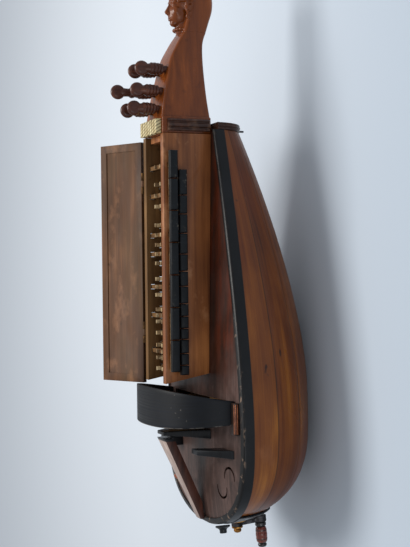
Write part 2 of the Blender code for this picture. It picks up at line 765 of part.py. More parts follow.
# Wheel, axle and crank
def make_wheel():
    rim = WHEEL_RADIUS
    web = WHEEL_WIDTH / 2 - WHEEL_DISH
    bore = AXLE_RADIUS + GAP
    return turned(
        "wheel",
        [
            (bore, HUB_WIDTH / 2),
            (HUB_RADIUS, HUB_WIDTH / 2),
            (HUB_RADIUS, web),
            (rim - WHEEL_WIDTH, web),
            (rim - WHEEL_WIDTH, WHEEL_WIDTH / 2),
            (rim, WHEEL_WIDTH / 2),
            (rim, -WHEEL_WIDTH / 2),
            (rim - WHEEL_WIDTH, -WHEEL_WIDTH / 2),
            (rim - WHEEL_WIDTH, -web),
            (HUB_RADIUS, -web),
            (HUB_RADIUS, -HUB_WIDTH / 2),
            (bore, -HUB_WIDTH / 2),
        ],
        plain_wood, closed=True, segments=WHEEL_SEGMENTS, rotation=ALONG_X, parent=axle_line,
    )


CRANK_TOP = BUSH_OUTER - CRANK_CLEARANCE
CRANK_BOTTOM = CRANK_TOP - CRANK_ARM_THICKNESS
AXLE_END = CRANK_BOTTOM - NUT_LENGTH / 2


def make_axle():
    start = axle_distance(CROSSBAR_X + CROSSBAR_WIDTH)
    mesh = cylinder_mesh("axle", AXLE_RADIUS, CRANK_TOP + GAP, start)
    shaft = add_piece("axle", mesh, iron, rotation=ALONG_X, parent=axle_line)
    stub = cylinder_mesh("axle_stub", AXLE_RADIUS / 2, AXLE_END, CRANK_TOP + CUT_OVERRUN)
    return join(shaft, add_piece("axle_stub", stub, rotation=ALONG_X, parent=axle_line))


def make_crank_arm():
    """A flat arm with an eye at each end; the grip's spindle is riveted in the outer eye."""
    hub = cylinder_mesh("crank_arm", CRANK_HUB_RADIUS, CRANK_BOTTOM, CRANK_TOP)
    arm = add_piece("crank_arm", hub, iron, rotation=ALONG_X, parent=axle_line)
    half = CRANK_ARM_WIDTH / 2
    bar = box_mesh("crank_bar", (0, -half, CRANK_BOTTOM), (CRANK_RADIUS, half, CRANK_TOP))
    join(arm, add_piece("crank_bar", bar, rotation=ALONG_X, parent=axle_line))
    eye_top = CRANK_TOP + CRANK_ARM_THICKNESS / 2
    eye = cylinder_mesh("crank_eye", CRANK_EYE_RADIUS, CRANK_BOTTOM, eye_top)
    spindle_end = CRANK_BOTTOM - GRIP_LENGTH * GRIP_BORE_SHARE
    spindle = cylinder_mesh("crank_spindle", SPINDLE_RADIUS, spindle_end, CRANK_TOP)
    for label, mesh in (("crank_eye", eye), ("crank_spindle", spindle)):
        outer = add_piece(label, mesh, location=(0, 0, -CRANK_RADIUS), rotation=ALONG_X, parent=axle_line)
        join(arm, outer)
    bore = axle_cutter("crank_bore", AXLE_RADIUS / 2 + GAP, CRANK_BOTTOM - CUT_OVERRUN, CRANK_TOP + CUT_OVERRUN)
    return cut(arm, bore)


def make_crank_nut():
    top = CRANK_BOTTOM - GAP
    bore = AXLE_RADIUS / 2 + GAP
    dome = zip(NUT_LENGTH_SHARES, NUT_RADIUS_SHARES)
    outer = [(NUT_RADIUS * share, top - NUT_LENGTH * along) for along, share in dome]
    return turned(
        "crank_nut",
        [
            (0, AXLE_END - GAP),
            (bore, AXLE_END - GAP),
            (bore, top),
            *outer,
            (0, top - NUT_LENGTH),
        ],
        brass, rotation=ALONG_X, parent=axle_line,
    )


def make_grip():
    """A turned barrel with a bead at each end, bored for the spindle."""
    top = CRANK_BOTTOM - RUN_GAP
    bottom = top - GRIP_LENGTH
    bore = SPINDLE_RADIUS + RUN_GAP
    neck = GRIP_RADIUS * GRIP_NECK_SHARE
    bore_end = CRANK_BOTTOM - GRIP_LENGTH * GRIP_BORE_SHARE - RUN_GAP * 2
    barrel = zip(GRIP_LENGTH_SHARES, GRIP_RADIUS_SHARES)
    outer = [(GRIP_RADIUS * share, top - GRIP_LENGTH * along) for along, share in barrel]
    return turned(
        "crank_handle",
        [(0, bore_end), (bore, bore_end), (bore, top), (neck, top), *outer, (neck, bottom + RUN_GAP),
         (neck / 2, bottom), (0, bottom)],
        peg_wood, location=(0, 0, -CRANK_RADIUS), rotation=ALONG_X, parent=axle_line,
    )


make_wheel()
make_axle()
make_crank_arm()
make_crank_nut()
make_grip()


# Wheel cover and brackets
COVER_HALF = SLOT_HALF + COVER_FOOT_ROOM


def cover_row(angle):
    """The arch's inner line at an angle from the near foot, and its width along the instrument."""
    rise = COVER_TOP - COVER_THICKNESS
    y = -COVER_HALF * math.copysign(abs(math.cos(angle)) ** COVER_SHOULDER_POWER, math.cos(angle))
    z = rise * math.sin(angle) ** COVER_SHOULDER_POWER
    width = COVER_FOOT_WIDTH + (COVER_CROWN_WIDTH - COVER_FOOT_WIDTH) * math.sin(angle)
    middle = COVER_FOOT_X + (COVER_CROWN_X - COVER_FOOT_X) * math.sin(angle)
    return [(middle - width / 2, y, z), (middle, y, z), (middle + width / 2, y, z)]


def make_cover():
    rows = [cover_row(math.pi * step / COVER_STEPS) for step in range(COVER_STEPS + 1)]
    cover = add_piece("wheel_cover", surface_mesh("wheel_cover", rows), black_wood)
    thicken(cover, COVER_THICKNESS, inward=False)
    return cut(cover, crown_cutter)


def make_bracket(side):
    name = "cover_bracket_near" if side < 0 else "cover_bracket_far"
    inner = COVER_HALF + COVER_THICKNESS + GAP
    ends = sorted((side * inner, side * (inner + BRACKET_WIDTH)))
    top = board_top(BRACKET_TAIL_X, inner) + BRACKET_THICKNESS
    low = (BRACKET_TAIL_X, ends[0], 0)
    high = (BRACKET_TAIL_X + BRACKET_LENGTH, ends[1], top)
    return cut(add_piece(name, box_mesh(name, low, high), red_wood), crown_cutter)


make_cover()
for bracket_side in (-1, 1):
    make_bracket(bracket_side)


# Key box
def key_stations(shares):
    """The tail and head edge of each key head in a row."""
    length = KEYS_HEAD_X - KEYS_TAIL_X
    edges = [KEYS_TAIL_X + length * share for share in shares]
    return list(zip(edges, edges[1:]))


lower_heads = key_stations(LOWER_EDGE_SHARES)
upper_heads = key_stations(UPPER_EDGE_SHARES)
lower_shanks = [(tail + head) / 2 for tail, head in lower_heads]
upper_shanks = [(lower_shanks[a] + lower_shanks[b]) / 2 for a, b in UPPER_BETWEEN]
upper_shanks.append((upper_heads[-1][0] + upper_heads[-1][1]) / 2)


def slot_spans(face, thickness):
    """The slots that the shanks slide in, through one wall."""
    spans = []
    half = SHANK_WIDTH / 2 + RUN_GAP
    rise = SHANK_HEIGHT / 2 + RUN_GAP
    for shanks, height in ((lower_shanks, LOWER_ROW_Z), (upper_shanks, UPPER_ROW_Z)):
        for x in shanks:
            low = (x - half, face - CUT_OVERRUN, height - rise)
            high = (x + half, face + thickness + CUT_OVERRUN, height + rise)
            spans.append((low, high))
    return spans


def make_wall(name, face, thickness, slant):
    mesh = box_mesh(name, (BOX_TAIL_X, face, 0), (BOX_HEAD_X, face + thickness, BOX_TOP))
    wall = cut(add_piece(name, mesh, red_wood), crown_cutter)
    slots = add_piece(name + "_slots", boxes_mesh(name + "_slots", slot_spans(face, thickness)))
    cut(wall, slots)
    if slant:
        wedge = [
            [(BOX_TAIL_X - CUT_OVERRUN, y, -CUT_OVERRUN), (BOX_TAIL_X + BOX_TAIL_SLANT, y, -CUT_OVERRUN),
             (BOX_TAIL_X, y, BOX_TOP), (BOX_TAIL_X - CUT_OVERRUN, y, BOX_TOP)]
            for y in (face - CUT_OVERRUN, face + thickness + CUT_OVERRUN)
        ]
        cut(wall, add_piece(name + "_slant", loft_mesh(name + "_slant", wedge)))
    return wall


def make_box_end(name, low_x, top):
    low = (low_x, BOX_NEAR + NEAR_WALL + GAP, 0)
    high = (low_x + END_WALL, BOX_FAR - FAR_WALL - GAP, top)
    return cut(add_piece(name, box_mesh(name, low, high), red_wood), crown_cutter)


make_wall("keybox_near_wall", BOX_NEAR, NEAR_WALL, True)
make_wall("keybox_far_wall", BOX_FAR - FAR_WALL, FAR_WALL, True)
make_box_end("keybox_head_end", BOX_HEAD_X - END_WALL, BOX_TOP - NUT_BLOCK_HEIGHT)
make_box_end("keybox_tail_end", BOX_TAIL_X + BOX_TAIL_SLANT, TAIL_WALL_TOP)


# Lid and hinges
LID_TAIL_X = BOX_TAIL_X - LID_TAIL_OVERHANG
LID_LENGTH = BOX_HEAD_X - LID_HEAD_MARGIN - LID_TAIL_X
HINGE_Y = BOX_FAR + HINGE_RADIUS + GAP
HINGE_Z = BOX_TOP + GAP
lid_axis = empty("lid_axis", (LID_TAIL_X, HINGE_Y, HINGE_Z), (-LID_OPEN_ANGLE, 0, 0), root)
HINGE_STATIONS = [(upper_shanks[a] + upper_shanks[b]) / 2 - LID_TAIL_X for a, b in HINGE_BETWEEN]
HINGE_SPACE = min(upper_shanks[b] - upper_shanks[a] for a, b in HINGE_BETWEEN) - SHANK_WIDTH
HINGE_LENGTH = HINGE_SPACE - HINGE_SHANK_ROOM * 2
KNUCKLE = HINGE_LENGTH / 3


def make_lid():
    """A framed board, drawn closed over the box, with its hinge leaves on its edge; the axis then opens it."""
    width = BOX_WIDTH + HINGE_RADIUS + GAP
    under = GAP
    low = (0, -width, under)
    high = (LID_LENGTH, -HINGE_RADIUS - GAP * 2, under + LID_THICKNESS)
    lid = add_piece("keybox_lid", box_mesh("keybox_lid", low, high), red_wood, parent=lid_axis)
    upper = under + LID_THICKNESS
    for label, bottom, top in (("inner", under - CUT_OVERRUN, under + LID_RECESS / 2),
                               ("outer", upper - LID_RECESS / 2, upper + CUT_OVERRUN)):
        panel_low = (LID_FRAME_WIDTH, low[1] + LID_FRAME_WIDTH, bottom)
        panel_high = (LID_LENGTH - LID_FRAME_WIDTH, high[1] - LID_FRAME_WIDTH, top)
        name = "lid_panel_" + label
        cut(lid, add_piece(name, box_mesh(name, panel_low, panel_high), parent=lid_axis))
    for index, x in enumerate(HINGE_STATIONS):
        name = f"lid_knuckle_{index + 1}"
        half = KNUCKLE / 2 - RUN_GAP
        knuckle = cylinder_mesh(name, HINGE_RADIUS, -half, half, SMALL_SEGMENTS)
        join(lid, add_piece(name, knuckle, location=(x, 0, 0), rotation=ALONG_X, parent=lid_axis))
        strap_low = (x - half, high[1] - HINGE_RADIUS, under)
        strap_high = (x + half, 0, under + HINGE_LEAF)
        strap = name + "_strap"
        join(lid, add_piece(strap, box_mesh(strap, strap_low, strap_high), parent=lid_axis))
        bore_radius = HINGE_PIN_RADIUS + RUN_GAP / 2
        bore = cylinder_mesh(name + "_bore", bore_radius, -HINGE_LENGTH, HINGE_LENGTH, SMALL_SEGMENTS)
        cut(lid, add_piece(name + "_bore", bore, location=(x, 0, 0), rotation=ALONG_X, parent=lid_axis))
    return lid


def make_hinge(index, x):
    """The fixed half of a hinge: a leaf on the far wall, two knuckles and the pin."""
    name = "lid_hinge_tail" if index == 0 else "lid_hinge_head"
    center = LID_TAIL_X + x
    low = (center - HINGE_LENGTH / 2, BOX_FAR + GAP, HINGE_Z - HINGE_LEAF_DROP)
    high = (center + HINGE_LENGTH / 2, BOX_FAR + GAP + HINGE_LEAF, HINGE_Z - HINGE_RADIUS - RUN_GAP)
    hinge = add_piece(name, box_mesh(name, low, high), brass)
    for side in (-1, 1):
        middle = center + side * KNUCKLE
        label = f"{name}_knuckle_{'tail' if side < 0 else 'head'}"
        knuckle = cylinder_mesh(label, HINGE_RADIUS, -KNUCKLE / 2, KNUCKLE / 2, SMALL_SEGMENTS)
        join(hinge, add_piece(label, knuckle, location=(middle, HINGE_Y, HINGE_Z), rotation=ALONG_X))
        web_low = (middle - KNUCKLE / 2, BOX_FAR + GAP, high[2] - HINGE_LEAF)
        web_high = (middle + KNUCKLE / 2, BOX_FAR + GAP + HINGE_LEAF, HINGE_Z)
        join(hinge, add_piece(label + "_web", box_mesh(label + "_web", web_low, web_high)))
    pin = cylinder_mesh(name + "_pin", HINGE_PIN_RADIUS, -HINGE_LENGTH / 2, HINGE_LENGTH / 2, SMALL_SEGMENTS)
    return join(hinge, add_piece(name + "_pin", pin, location=(center, HINGE_Y, HINGE_Z), rotation=ALONG_X))


make_lid()
for hinge_index, hinge_x in enumerate(HINGE_STATIONS):
    make_hinge(hinge_index, hinge_x)


# Keys
def rectangle(y, x_low, x_high, z_low, z_high):
    return [(x_low, y, z_low), (x_high, y, z_low), (x_high, y, z_high), (x_low, y, z_high)]


def make_key(name, edges, shank_x, height):
    """A key: its head outside the near wall, its shank through both walls and its two tangents."""
    inner_face = BOX_NEAR - KEY_TRAVEL - GAP
    outer_face = inner_face - KEY_HEAD_DEPTH
    tail, head = edges[0] + KEY_HEAD_SPACE / 2 - shank_x, edges[1] - KEY_HEAD_SPACE / 2 - shank_x
    rise = KEY_HEAD_HEIGHT / 2
    chamfer = KEY_CHAMFER
    shank = SHANK_WIDTH / 2
    up = SHANK_HEIGHT / 2
    rings = [
        rectangle(outer_face, tail + chamfer, head - chamfer, -rise + chamfer, rise - chamfer),
        rectangle(outer_face + chamfer, tail, head, -rise, rise),
        rectangle(inner_face, tail, head, -rise, rise),
        rectangle(inner_face, -shank, shank, -up, up),
        rectangle(BOX_FAR + SHANK_TAIL, -shank, shank, -up, up),
    ]
    key = add_piece(name, loft_mesh(name, rings), key_black, location=(shank_x, 0, height))
    spans = []
    for side in (-1, 1):
        # The key pushes the tangents towards +Y, so each stands on the near side of its string
        y = side * TANGENT_SPREAD - KEY_TRAVEL
        low = (-TANGENT_WIDTH / 2, y - TANGENT_THICKNESS, 0)
        high = (TANGENT_WIDTH / 2, y, TANGENT_TOP - height)
        spans.append((low, high))
    blades = boxes_mesh(name + "_tangents", spans)
    return join(key, add_piece(name + "_tangents", blades, location=(shank_x, 0, height)))


for number, (edges, x) in enumerate(zip(lower_heads, lower_shanks)):
    make_key(f"lower_key_{number + 1:02d}", edges, x, LOWER_ROW_Z)
for number, (edges, x) in enumerate(zip(upper_heads, upper_shanks)):
    make_key(f"upper_key_{number + 1:02d}", edges, x, UPPER_ROW_Z)


# Nut
def make_nut():
    low = (BOX_HEAD_X + GAP, -NUT_BLOCK_WIDTH / 2, PEGBOX_TOP + GAP)
    high = (BOX_HEAD_X + GAP + NUT_BLOCK_LENGTH, NUT_BLOCK_WIDTH / 2, PEGBOX_TOP + GAP + NUT_BLOCK_HEIGHT)
    nut = add_piece("nut", box_mesh("nut", low, high), bone)
    spans = []
    for groove in range(NUT_GROOVES):
        y = NUT_BLOCK_WIDTH * ((groove + 1) / (NUT_GROOVES + 1) - 1 / 2)
        groove_low = (low[0] - CUT_OVERRUN, y - NUT_GROOVE / 2, high[2] - NUT_GROOVE)
        groove_high = (high[0] + CUT_OVERRUN, y + NUT_GROOVE / 2, high[2] + CUT_OVERRUN)
        spans.append((groove_low, groove_high))
    return cut(nut, add_piece("nut_grooves", boxes_mesh("nut_grooves", spans)))


make_nut()


# Pegbox
def chamfered_section(x, half, bottom, top, edge):
    """A section across the instrument with its corners cut off."""
    return [
        (x, -half + edge, bottom), (x, half - edge, bottom), (x, half, bottom + edge), (x, half, top - edge),
        (x, half - edge, top), (x, -half + edge, top), (x, -half, top - edge), (x, -half, bottom + edge),
    ]


def pegbox_top(x):
    """The height of the pegbox's sloping front at a station."""
    along = (x - PEGBOX_START_X) / (PEGBOX_END_X - PEGBOX_START_X)
    pairs = list(zip(PEGBOX_LENGTH_SHARES, PEGBOX_TOP_SHARES))
    for (start, high), (end, low) in zip(pairs, pairs[1:]):
        if along <= end:
            return PEGBOX_TOP * (high + (low - high) * (along - start) / (end - start))
    return PEGBOX_TOP * PEGBOX_TOP_SHARES[-1]


def make_pegbox():
    """The pegbox with the neck plate that closes the bowl and the shoulder that the nut sits on."""
    sections = []
    for along, top, back in zip(PEGBOX_LENGTH_SHARES, PEGBOX_TOP_SHARES, PEGBOX_BACK_SHARES):
        x = PEGBOX_START_X + (PEGBOX_END_X - PEGBOX_START_X) * along
        half = PEGBOX_HALF_WIDTH * (1 - (1 - PEGBOX_END_SHARE) * along)
        sections.append(chamfered_section(x, half, PEGBOX_TOP * back, PEGBOX_TOP * top, PEGBOX_EDGE))
    pegbox = add_piece("pegbox", loft_mesh("pegbox", sections), bowl_wood)
    plate_start = BODY_HEAD_X + GAP
    outset = -EDGING_LIP
    plate = loft_mesh("neck_plate", [
        [(x, y, z) for _, y, z in bowl_ring(BODY_HEAD_X, outset)]
        for x in (plate_start, plate_start + NECK_PLATE)
    ])
    join(pegbox, add_piece("neck_plate", plate))
    half = NECK_SHOULDER_HALF_WIDTH
    shoulder_low = (BOX_HEAD_X + GAP, -half, -NECK_PLATE)
    shoulder_high = (PEGBOX_START_X + PEGBOX_EDGE, half, PEGBOX_TOP)
    join(pegbox, add_piece("neck_shoulder", box_mesh("neck_shoulder", shoulder_low, shoulder_high)))
    return cut(pegbox, crown_cutter)


pegbox = make_pegbox()


def peg_ring(height, half_x, half_y):
    angles = [2 * math.pi * step / SMALL_SEGMENTS for step in range(SMALL_SEGMENTS)]
    return [(half_x * math.cos(a), half_y * math.sin(a), height) for a in angles]


def make_peg(name, x, side, height):
    """A tuning peg: a tapered shank, a ringed collar and a flat oval head."""
    collar = PEG_COLLAR_RADIUS
    waist = (PEG_RADIUS + collar) / 2
    wide = PEG_HEAD_WIDTH / 2
    thin = PEG_HEAD_THICKNESS / 2
    foot, ring, low_waist, upper_ring, high_waist = [height * share for share in PEG_COLLAR_SHARES]
    widest, still_wide, rounding = [height * share for share in PEG_HEAD_SHARES]
    profile = [
        (-PEG_SINK, PEG_RADIUS * PEG_TIP_SHARE, PEG_RADIUS * PEG_TIP_SHARE),
        (GAP * 2, PEG_RADIUS, PEG_RADIUS),
        (foot, PEG_RADIUS, PEG_RADIUS),
        (ring, collar, collar),
        (low_waist, waist, waist),
        (upper_ring, collar, collar),
        (high_waist, waist, thin),
        (widest, wide, thin),
        (still_wide, wide, thin),
        (rounding, wide * PEG_ROUNDING_SHARE, thin * PEG_ROUNDING_SHARE),
        (height, wide * PEG_CROWN_SHARE, thin * PEG_CROWN_SHARE),
    ]
    mesh = loft_mesh(name, [peg_ring(*row) for row in profile], smooth=True)
    mesh.set_sharp_from_angle(angle=SMOOTH_ANGLE)
    place = (x, side * PEG_SPREAD, pegbox_top(x))
    peg = add_piece(name, mesh, peg_wood, location=place)
    bottom = -PEG_SINK - RUN_GAP * 2
    hole = cylinder_mesh(name + "_hole", PEG_RADIUS + RUN_GAP, bottom, CUT_OVERRUN, SMALL_SEGMENTS)
    cut(pegbox, add_piece(name + "_hole", hole, location=place))
    return peg


for row, side in (("near", -1), ("far", 1)):
    for station, share in enumerate(PEG_SHARES):
        peg_x = PEGBOX_START_X + PEGBOX_LENGTH * share
        tall = side > 0 and station == 1
        make_peg(f"peg_{row}_{station + 1}", peg_x, side, PEG_HEIGHT + (PEG_TALL_EXTRA if tall else 0))


# Carved head
def ellipsoid_mesh(name, middle, halves, segments=HEAD_SEGMENTS, rings=HEAD_RINGS):
    builder = bmesh.new()
    bmesh.ops.create_uvsphere(builder, u_segments=segments, v_segments=rings, radius=1)
    bmesh.ops.scale(builder, vec=halves, verts=builder.verts)
    bmesh.ops.translate(builder, vec=middle, verts=builder.verts)
    mesh = mesh_from(builder, name)
    mesh.shade_smooth()
    return mesh


def make_head():
    """A head that looks up from the soundboard, its chin to the tail, before a scrolled back."""
    rings = []
    start = PEGBOX_END_X + GAP
    for along, back, front, width in zip(SCROLL_LENGTH_SHARES, SCROLL_BACK, SCROLL_FRONT, SCROLL_WIDTH_SHARES):
        x = start + (HEAD_TOP_X - start) * along
        ring = peg_ring(0, SCROLL_HALF_WIDTH * width, (front - back) / 2)
        rings.append([(x, across, (front + back) / 2 + up) for across, up, _ in ring])
    head = add_piece("carved_head", loft_mesh("carved_head", rings, smooth=True), bowl_wood)
    middle_x = HEAD_TOP_X - HEAD_TOP_ROOM - HEAD_LENGTH / 2
    skull_halves = (HEAD_LENGTH / 2, HEAD_HALF_WIDTH, HEAD_HALF_DEPTH)
    join(head, add_piece("skull", ellipsoid_mesh("skull", (middle_x, 0, HEAD_CENTER_Z), skull_halves)))
    hair_shift = HAIR_THICKNESS * HAIR_SHIFT_SHARE
    hair_middle = (middle_x + hair_shift, 0, HEAD_CENTER_Z - HEAD_HALF_DEPTH / 3)
    hair_halves = (HEAD_LENGTH / 2 - hair_shift, HEAD_HALF_WIDTH + HAIR_THICKNESS, HEAD_HALF_DEPTH)
    join(head, add_piece("hair", ellipsoid_mesh("hair", hair_middle, hair_halves)))
    nose_z = HEAD_CENTER_Z + HEAD_HALF_DEPTH - NOSE_HEIGHT * NOSE_SINK_SHARE
    nose_middle = (middle_x - NOSE_LENGTH * NOSE_DROP_SHARE, 0, nose_z)
    nose_halves = (NOSE_LENGTH / 2, NOSE_WIDTH / 2, NOSE_HEIGHT / 2)
    join(head, add_piece("nose", ellipsoid_mesh("nose", nose_middle, nose_halves, NOSE_SEGMENTS, NOSE_RINGS)))
    return head


make_head()


# Bridges
def make_main_bridge():
    rings = []
    for along, narrowing in zip(BRIDGE_LENGTH_SHARES, BRIDGE_WIDTH_SHARES):
        z = BRIDGE_TOP * along
        half = BRIDGE_FOOT_HALF + (BRIDGE_TOP_HALF - BRIDGE_FOOT_HALF) * narrowing
        thick = BRIDGE_FOOT_THICKNESS + (BRIDGE_TOP_THICKNESS - BRIDGE_FOOT_THICKNESS) * along
        edge = thick / 2
        rings.append([(-edge, -half, z), (edge, -half, z), (edge, half, z), (-edge, half, z)])
    piece = add_piece("main_bridge", loft_mesh("main_bridge", rings), black_wood, location=(BRIDGE_X, 0, 0))
    return cut(piece, crown_cutter)


def make_drone_bridge():
    """A leaning wedge beside the tailpiece that carries the near drones."""
    rings = []
    for y, z, half in ((DRONE_FOOT_Y, 0, DRONE_FOOT_HALF), (DRONE_TOP_Y, DRONE_TOP, DRONE_TOP_HALF)):
        thick = DRONE_THICKNESS / 2 * half / DRONE_FOOT_HALF
        near, far = -y - half, -y + half
        rings.append([(-thick, near, z), (thick, near, z), (thick, far, z), (-thick, far, z)])
    piece = add_piece("drone_bridge", loft_mesh("drone_bridge", rings), black_wood, location=(DRONE_X, 0, 0))
    return cut(piece, crown_cutter)


def make_trompette_bridge():
    low = (TROMPETTE_X - TROMPETTE_WIDTH / 2, TROMPETTE_Y - TROMPETTE_LENGTH / 2, 0)
    high = (TROMPETTE_X + TROMPETTE_WIDTH / 2, TROMPETTE_Y + TROMPETTE_LENGTH / 2, TROMPETTE_TOP)
    return cut(add_piece("trompette_bridge", box_mesh("trompette_bridge", low, high), black_wood), crown_cutter)


make_main_bridge()
make_drone_bridge()
make_trompette_bridge()


# Tailpiece
def tailpiece_section(share):
    """The plank's top height and half width at a share of its length from the head end."""
    x = TAILPIECE_HEAD_X + (TAILPIECE_TAIL_X - TAILPIECE_HEAD_X) * share
    top = TAILPIECE_TOP + (TAILPIECE_TAIL_TOP - TAILPIECE_TOP) * share
    half = TAILPIECE_HEAD_HALF + (TAILPIECE_TAIL_HALF - TAILPIECE_HEAD_HALF) * share
    return x, top, half


def make_tailpiece():
    sections = []
    for share in (0, 1):
        x, top, half = tailpiece_section(share)
        sections.append([(x, -half, top - TAILPIECE_THICKNESS), (x, half, top - TAILPIECE_THICKNESS),
                         (x, half, top), (x, -half, top)])
    piece = add_piece("tailpiece", loft_mesh("tailpiece", sections), red_wood)
    over_edging = EDGING_HEIGHT + GAP * 2
    stations = tail_stations(1, LAST_TAIL_SHARE, TAIL_STEPS)
    rings = [board_ring(x, -BODY_DEPTH, over_edging, EDGING_LIP) for x in stations]
    tip = rings[-1]
    rings.append([(x - EDGING_LIP * 2, y, z) for x, y, z in tip])
    return cut(piece, add_piece("edging_space", loft_mesh("edging_space", rings)))


def make_tension_peg(tailpiece):
    x, top, half = tailpiece_section(TENSION_PEG_SHARE)
    narrowing = (TAILPIECE_HEAD_HALF - TAILPIECE_TAIL_HALF) / (TAILPIECE_HEAD_X - TAILPIECE_TAIL_X)
    place = (x, half, top - TAILPIECE_THICKNESS / 2)
    seat = GAP + TENSION_COLLAR_RADIUS * narrowing
    to_far_side = (-math.pi / 2, 0, 0)
    profile = [
        (0, TENSION_PEG_LENGTH),
        (TENSION_PEG_RADIUS / 2, TENSION_PEG_LENGTH),
        (TENSION_PEG_RADIUS, TENSION_PEG_LENGTH - TENSION_PEG_RADIUS),
        (TENSION_PEG_RADIUS, seat + TENSION_COLLAR),
        (TENSION_COLLAR_RADIUS, seat + TENSION_COLLAR),
        (TENSION_COLLAR_RADIUS, seat),
        (TENSION_PEG_RADIUS, seat),
        (TENSION_PEG_RADIUS, -TENSION_PEG_SINK),
        (0, -TENSION_PEG_SINK),
    ]
    hole = cylinder_mesh("tension_hole", TENSION_PEG_RADIUS + RUN_GAP, -TENSION_PEG_SINK - RUN_GAP, CUT_OVERRUN)
    cut(tailpiece, add_piece("tension_hole", hole, location=place, rotation=to_far_side))
    return turned("tension_peg", profile, brass, location=place, rotation=to_far_side)


make_tension_peg(make_tailpiece())


# Strap fittings and the knob
def make_strap_button():
    """A stepped button on the tail; its face is where a strap's loop hangs."""
    share = BUTTON_SIDE_SHARE
    x = tail_x(share)
    y = -HALF_WIDTH * share
    reach = (FULL_TAIL_X - x) / (FULL_TAIL_X - BODY_TAIL_X)
    slope_x = TAIL_POWER * reach ** (TAIL_POWER - 1) / (FULL_TAIL_X - BODY_TAIL_X)
    slope_y = 2 * share / HALF_WIDTH
    turn = math.atan2(slope_y, slope_x)
    seat = CLASP_THICKNESS + GAP * 4
    profile = [
        (0, seat + BUTTON_LENGTH),
        (BUTTON_END_RADIUS, seat + BUTTON_LENGTH),
        (BUTTON_END_RADIUS, seat + BUTTON_LENGTH / 2),
        (BUTTON_BASE_RADIUS, seat + BUTTON_LENGTH / 4),
        (BUTTON_BASE_RADIUS, seat),
        (0, seat),
    ]
    facing = (0, -math.pi / 2, turn)
    return turned("tail_strap_button", profile, black_wood, location=(x, y, BUTTON_Z), rotation=facing)


def make_knob():
    """A black knob on the clasp, under the crank."""
    x = tail_x(KNOB_DEPTH_SHARE)
    z = -depth(x)
    profile = [
        (0, KNOB_LENGTH),
        (KNOB_RADIUS * KNOB_EDGE_SHARE, KNOB_LENGTH),
        (KNOB_RADIUS, KNOB_LENGTH * KNOB_EDGE_SHARE),
        (KNOB_RADIUS, KNOB_LENGTH * (1 - KNOB_EDGE_SHARE)),
        (KNOB_STEM_RADIUS, 0),
        (KNOB_STEM_RADIUS, -KNOB_SINK),
        (0, -KNOB_SINK),
    ]
    lean = (0, math.pi + KNOB_ANGLE, 0)
    knob = turned("bowl_tail_knob", profile, black_wood, location=(x, 0, z), rotation=lean)
    outset = -(CLASP_THICKNESS + GAP * 3)
    stations = tail_stations(KNOB_SPACE_SHARE, LAST_TAIL_SHARE, CLASP_STEPS * 2, outset)
    rings = [bowl_ring(station, outset) for station in stations]
    return cut(knob, add_piece("clasp_space", loft_mesh("clasp_space", rings)))


def make_strap_pin():
    x = BODY_HEAD_X + NECK_PLATE / 2
    z = -depth(BODY_HEAD_X)
    mesh = cylinder_mesh("neck_strap_pin", STRAP_PIN_RADIUS, -STRAP_PIN_LENGTH, STRAP_PIN_SINK, SMALL_SEGMENTS)
    pin = add_piece("neck_strap_pin", mesh, iron, location=(x, 0, z))
    hole = cylinder_mesh("pin_hole", STRAP_PIN_RADIUS + GAP, -CUT_OVERRUN, STRAP_PIN_SINK + GAP, SMALL_SEGMENTS)
    cut(pegbox, add_piece("pin_hole", hole, location=(x, 0, z)))
    return pin


make_strap_button()
make_knob()
make_strap_pin()

# The root centres the instrument between the crank handle's end and the head, and sets it on its lowest stave
GRIP_END = CRANK_BOTTOM - RUN_GAP - GRIP_LENGTH
GRIP_END_RADIUS = GRIP_RADIUS * GRIP_NECK_SHARE / 2
TAIL_REACH = GRIP_END * math.cos(AXLE_TILT) + (CRANK_RADIUS - GRIP_END_RADIUS) * math.sin(AXLE_TILT)
root.location.x = -(TAIL_REACH + HEAD_TOP_X) / 2
root.location.z = BODY_DEPTH * math.sin(math.pi * (STAVES // 2) / STAVES)
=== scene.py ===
# %% [markdown]
# # A lute-backed hurdy-gurdy, dressed for its portrait
# The joiner's model gives every solid its place and its joints. This lesson puts the looks on it: smooth ribs
# on the bowl, worn edges on the key box, turned pegs, a carved head, and a finish for each wood and metal.

# %% The model and its box
import bpy
import json
import math
from mathutils import Color, Matrix, Vector


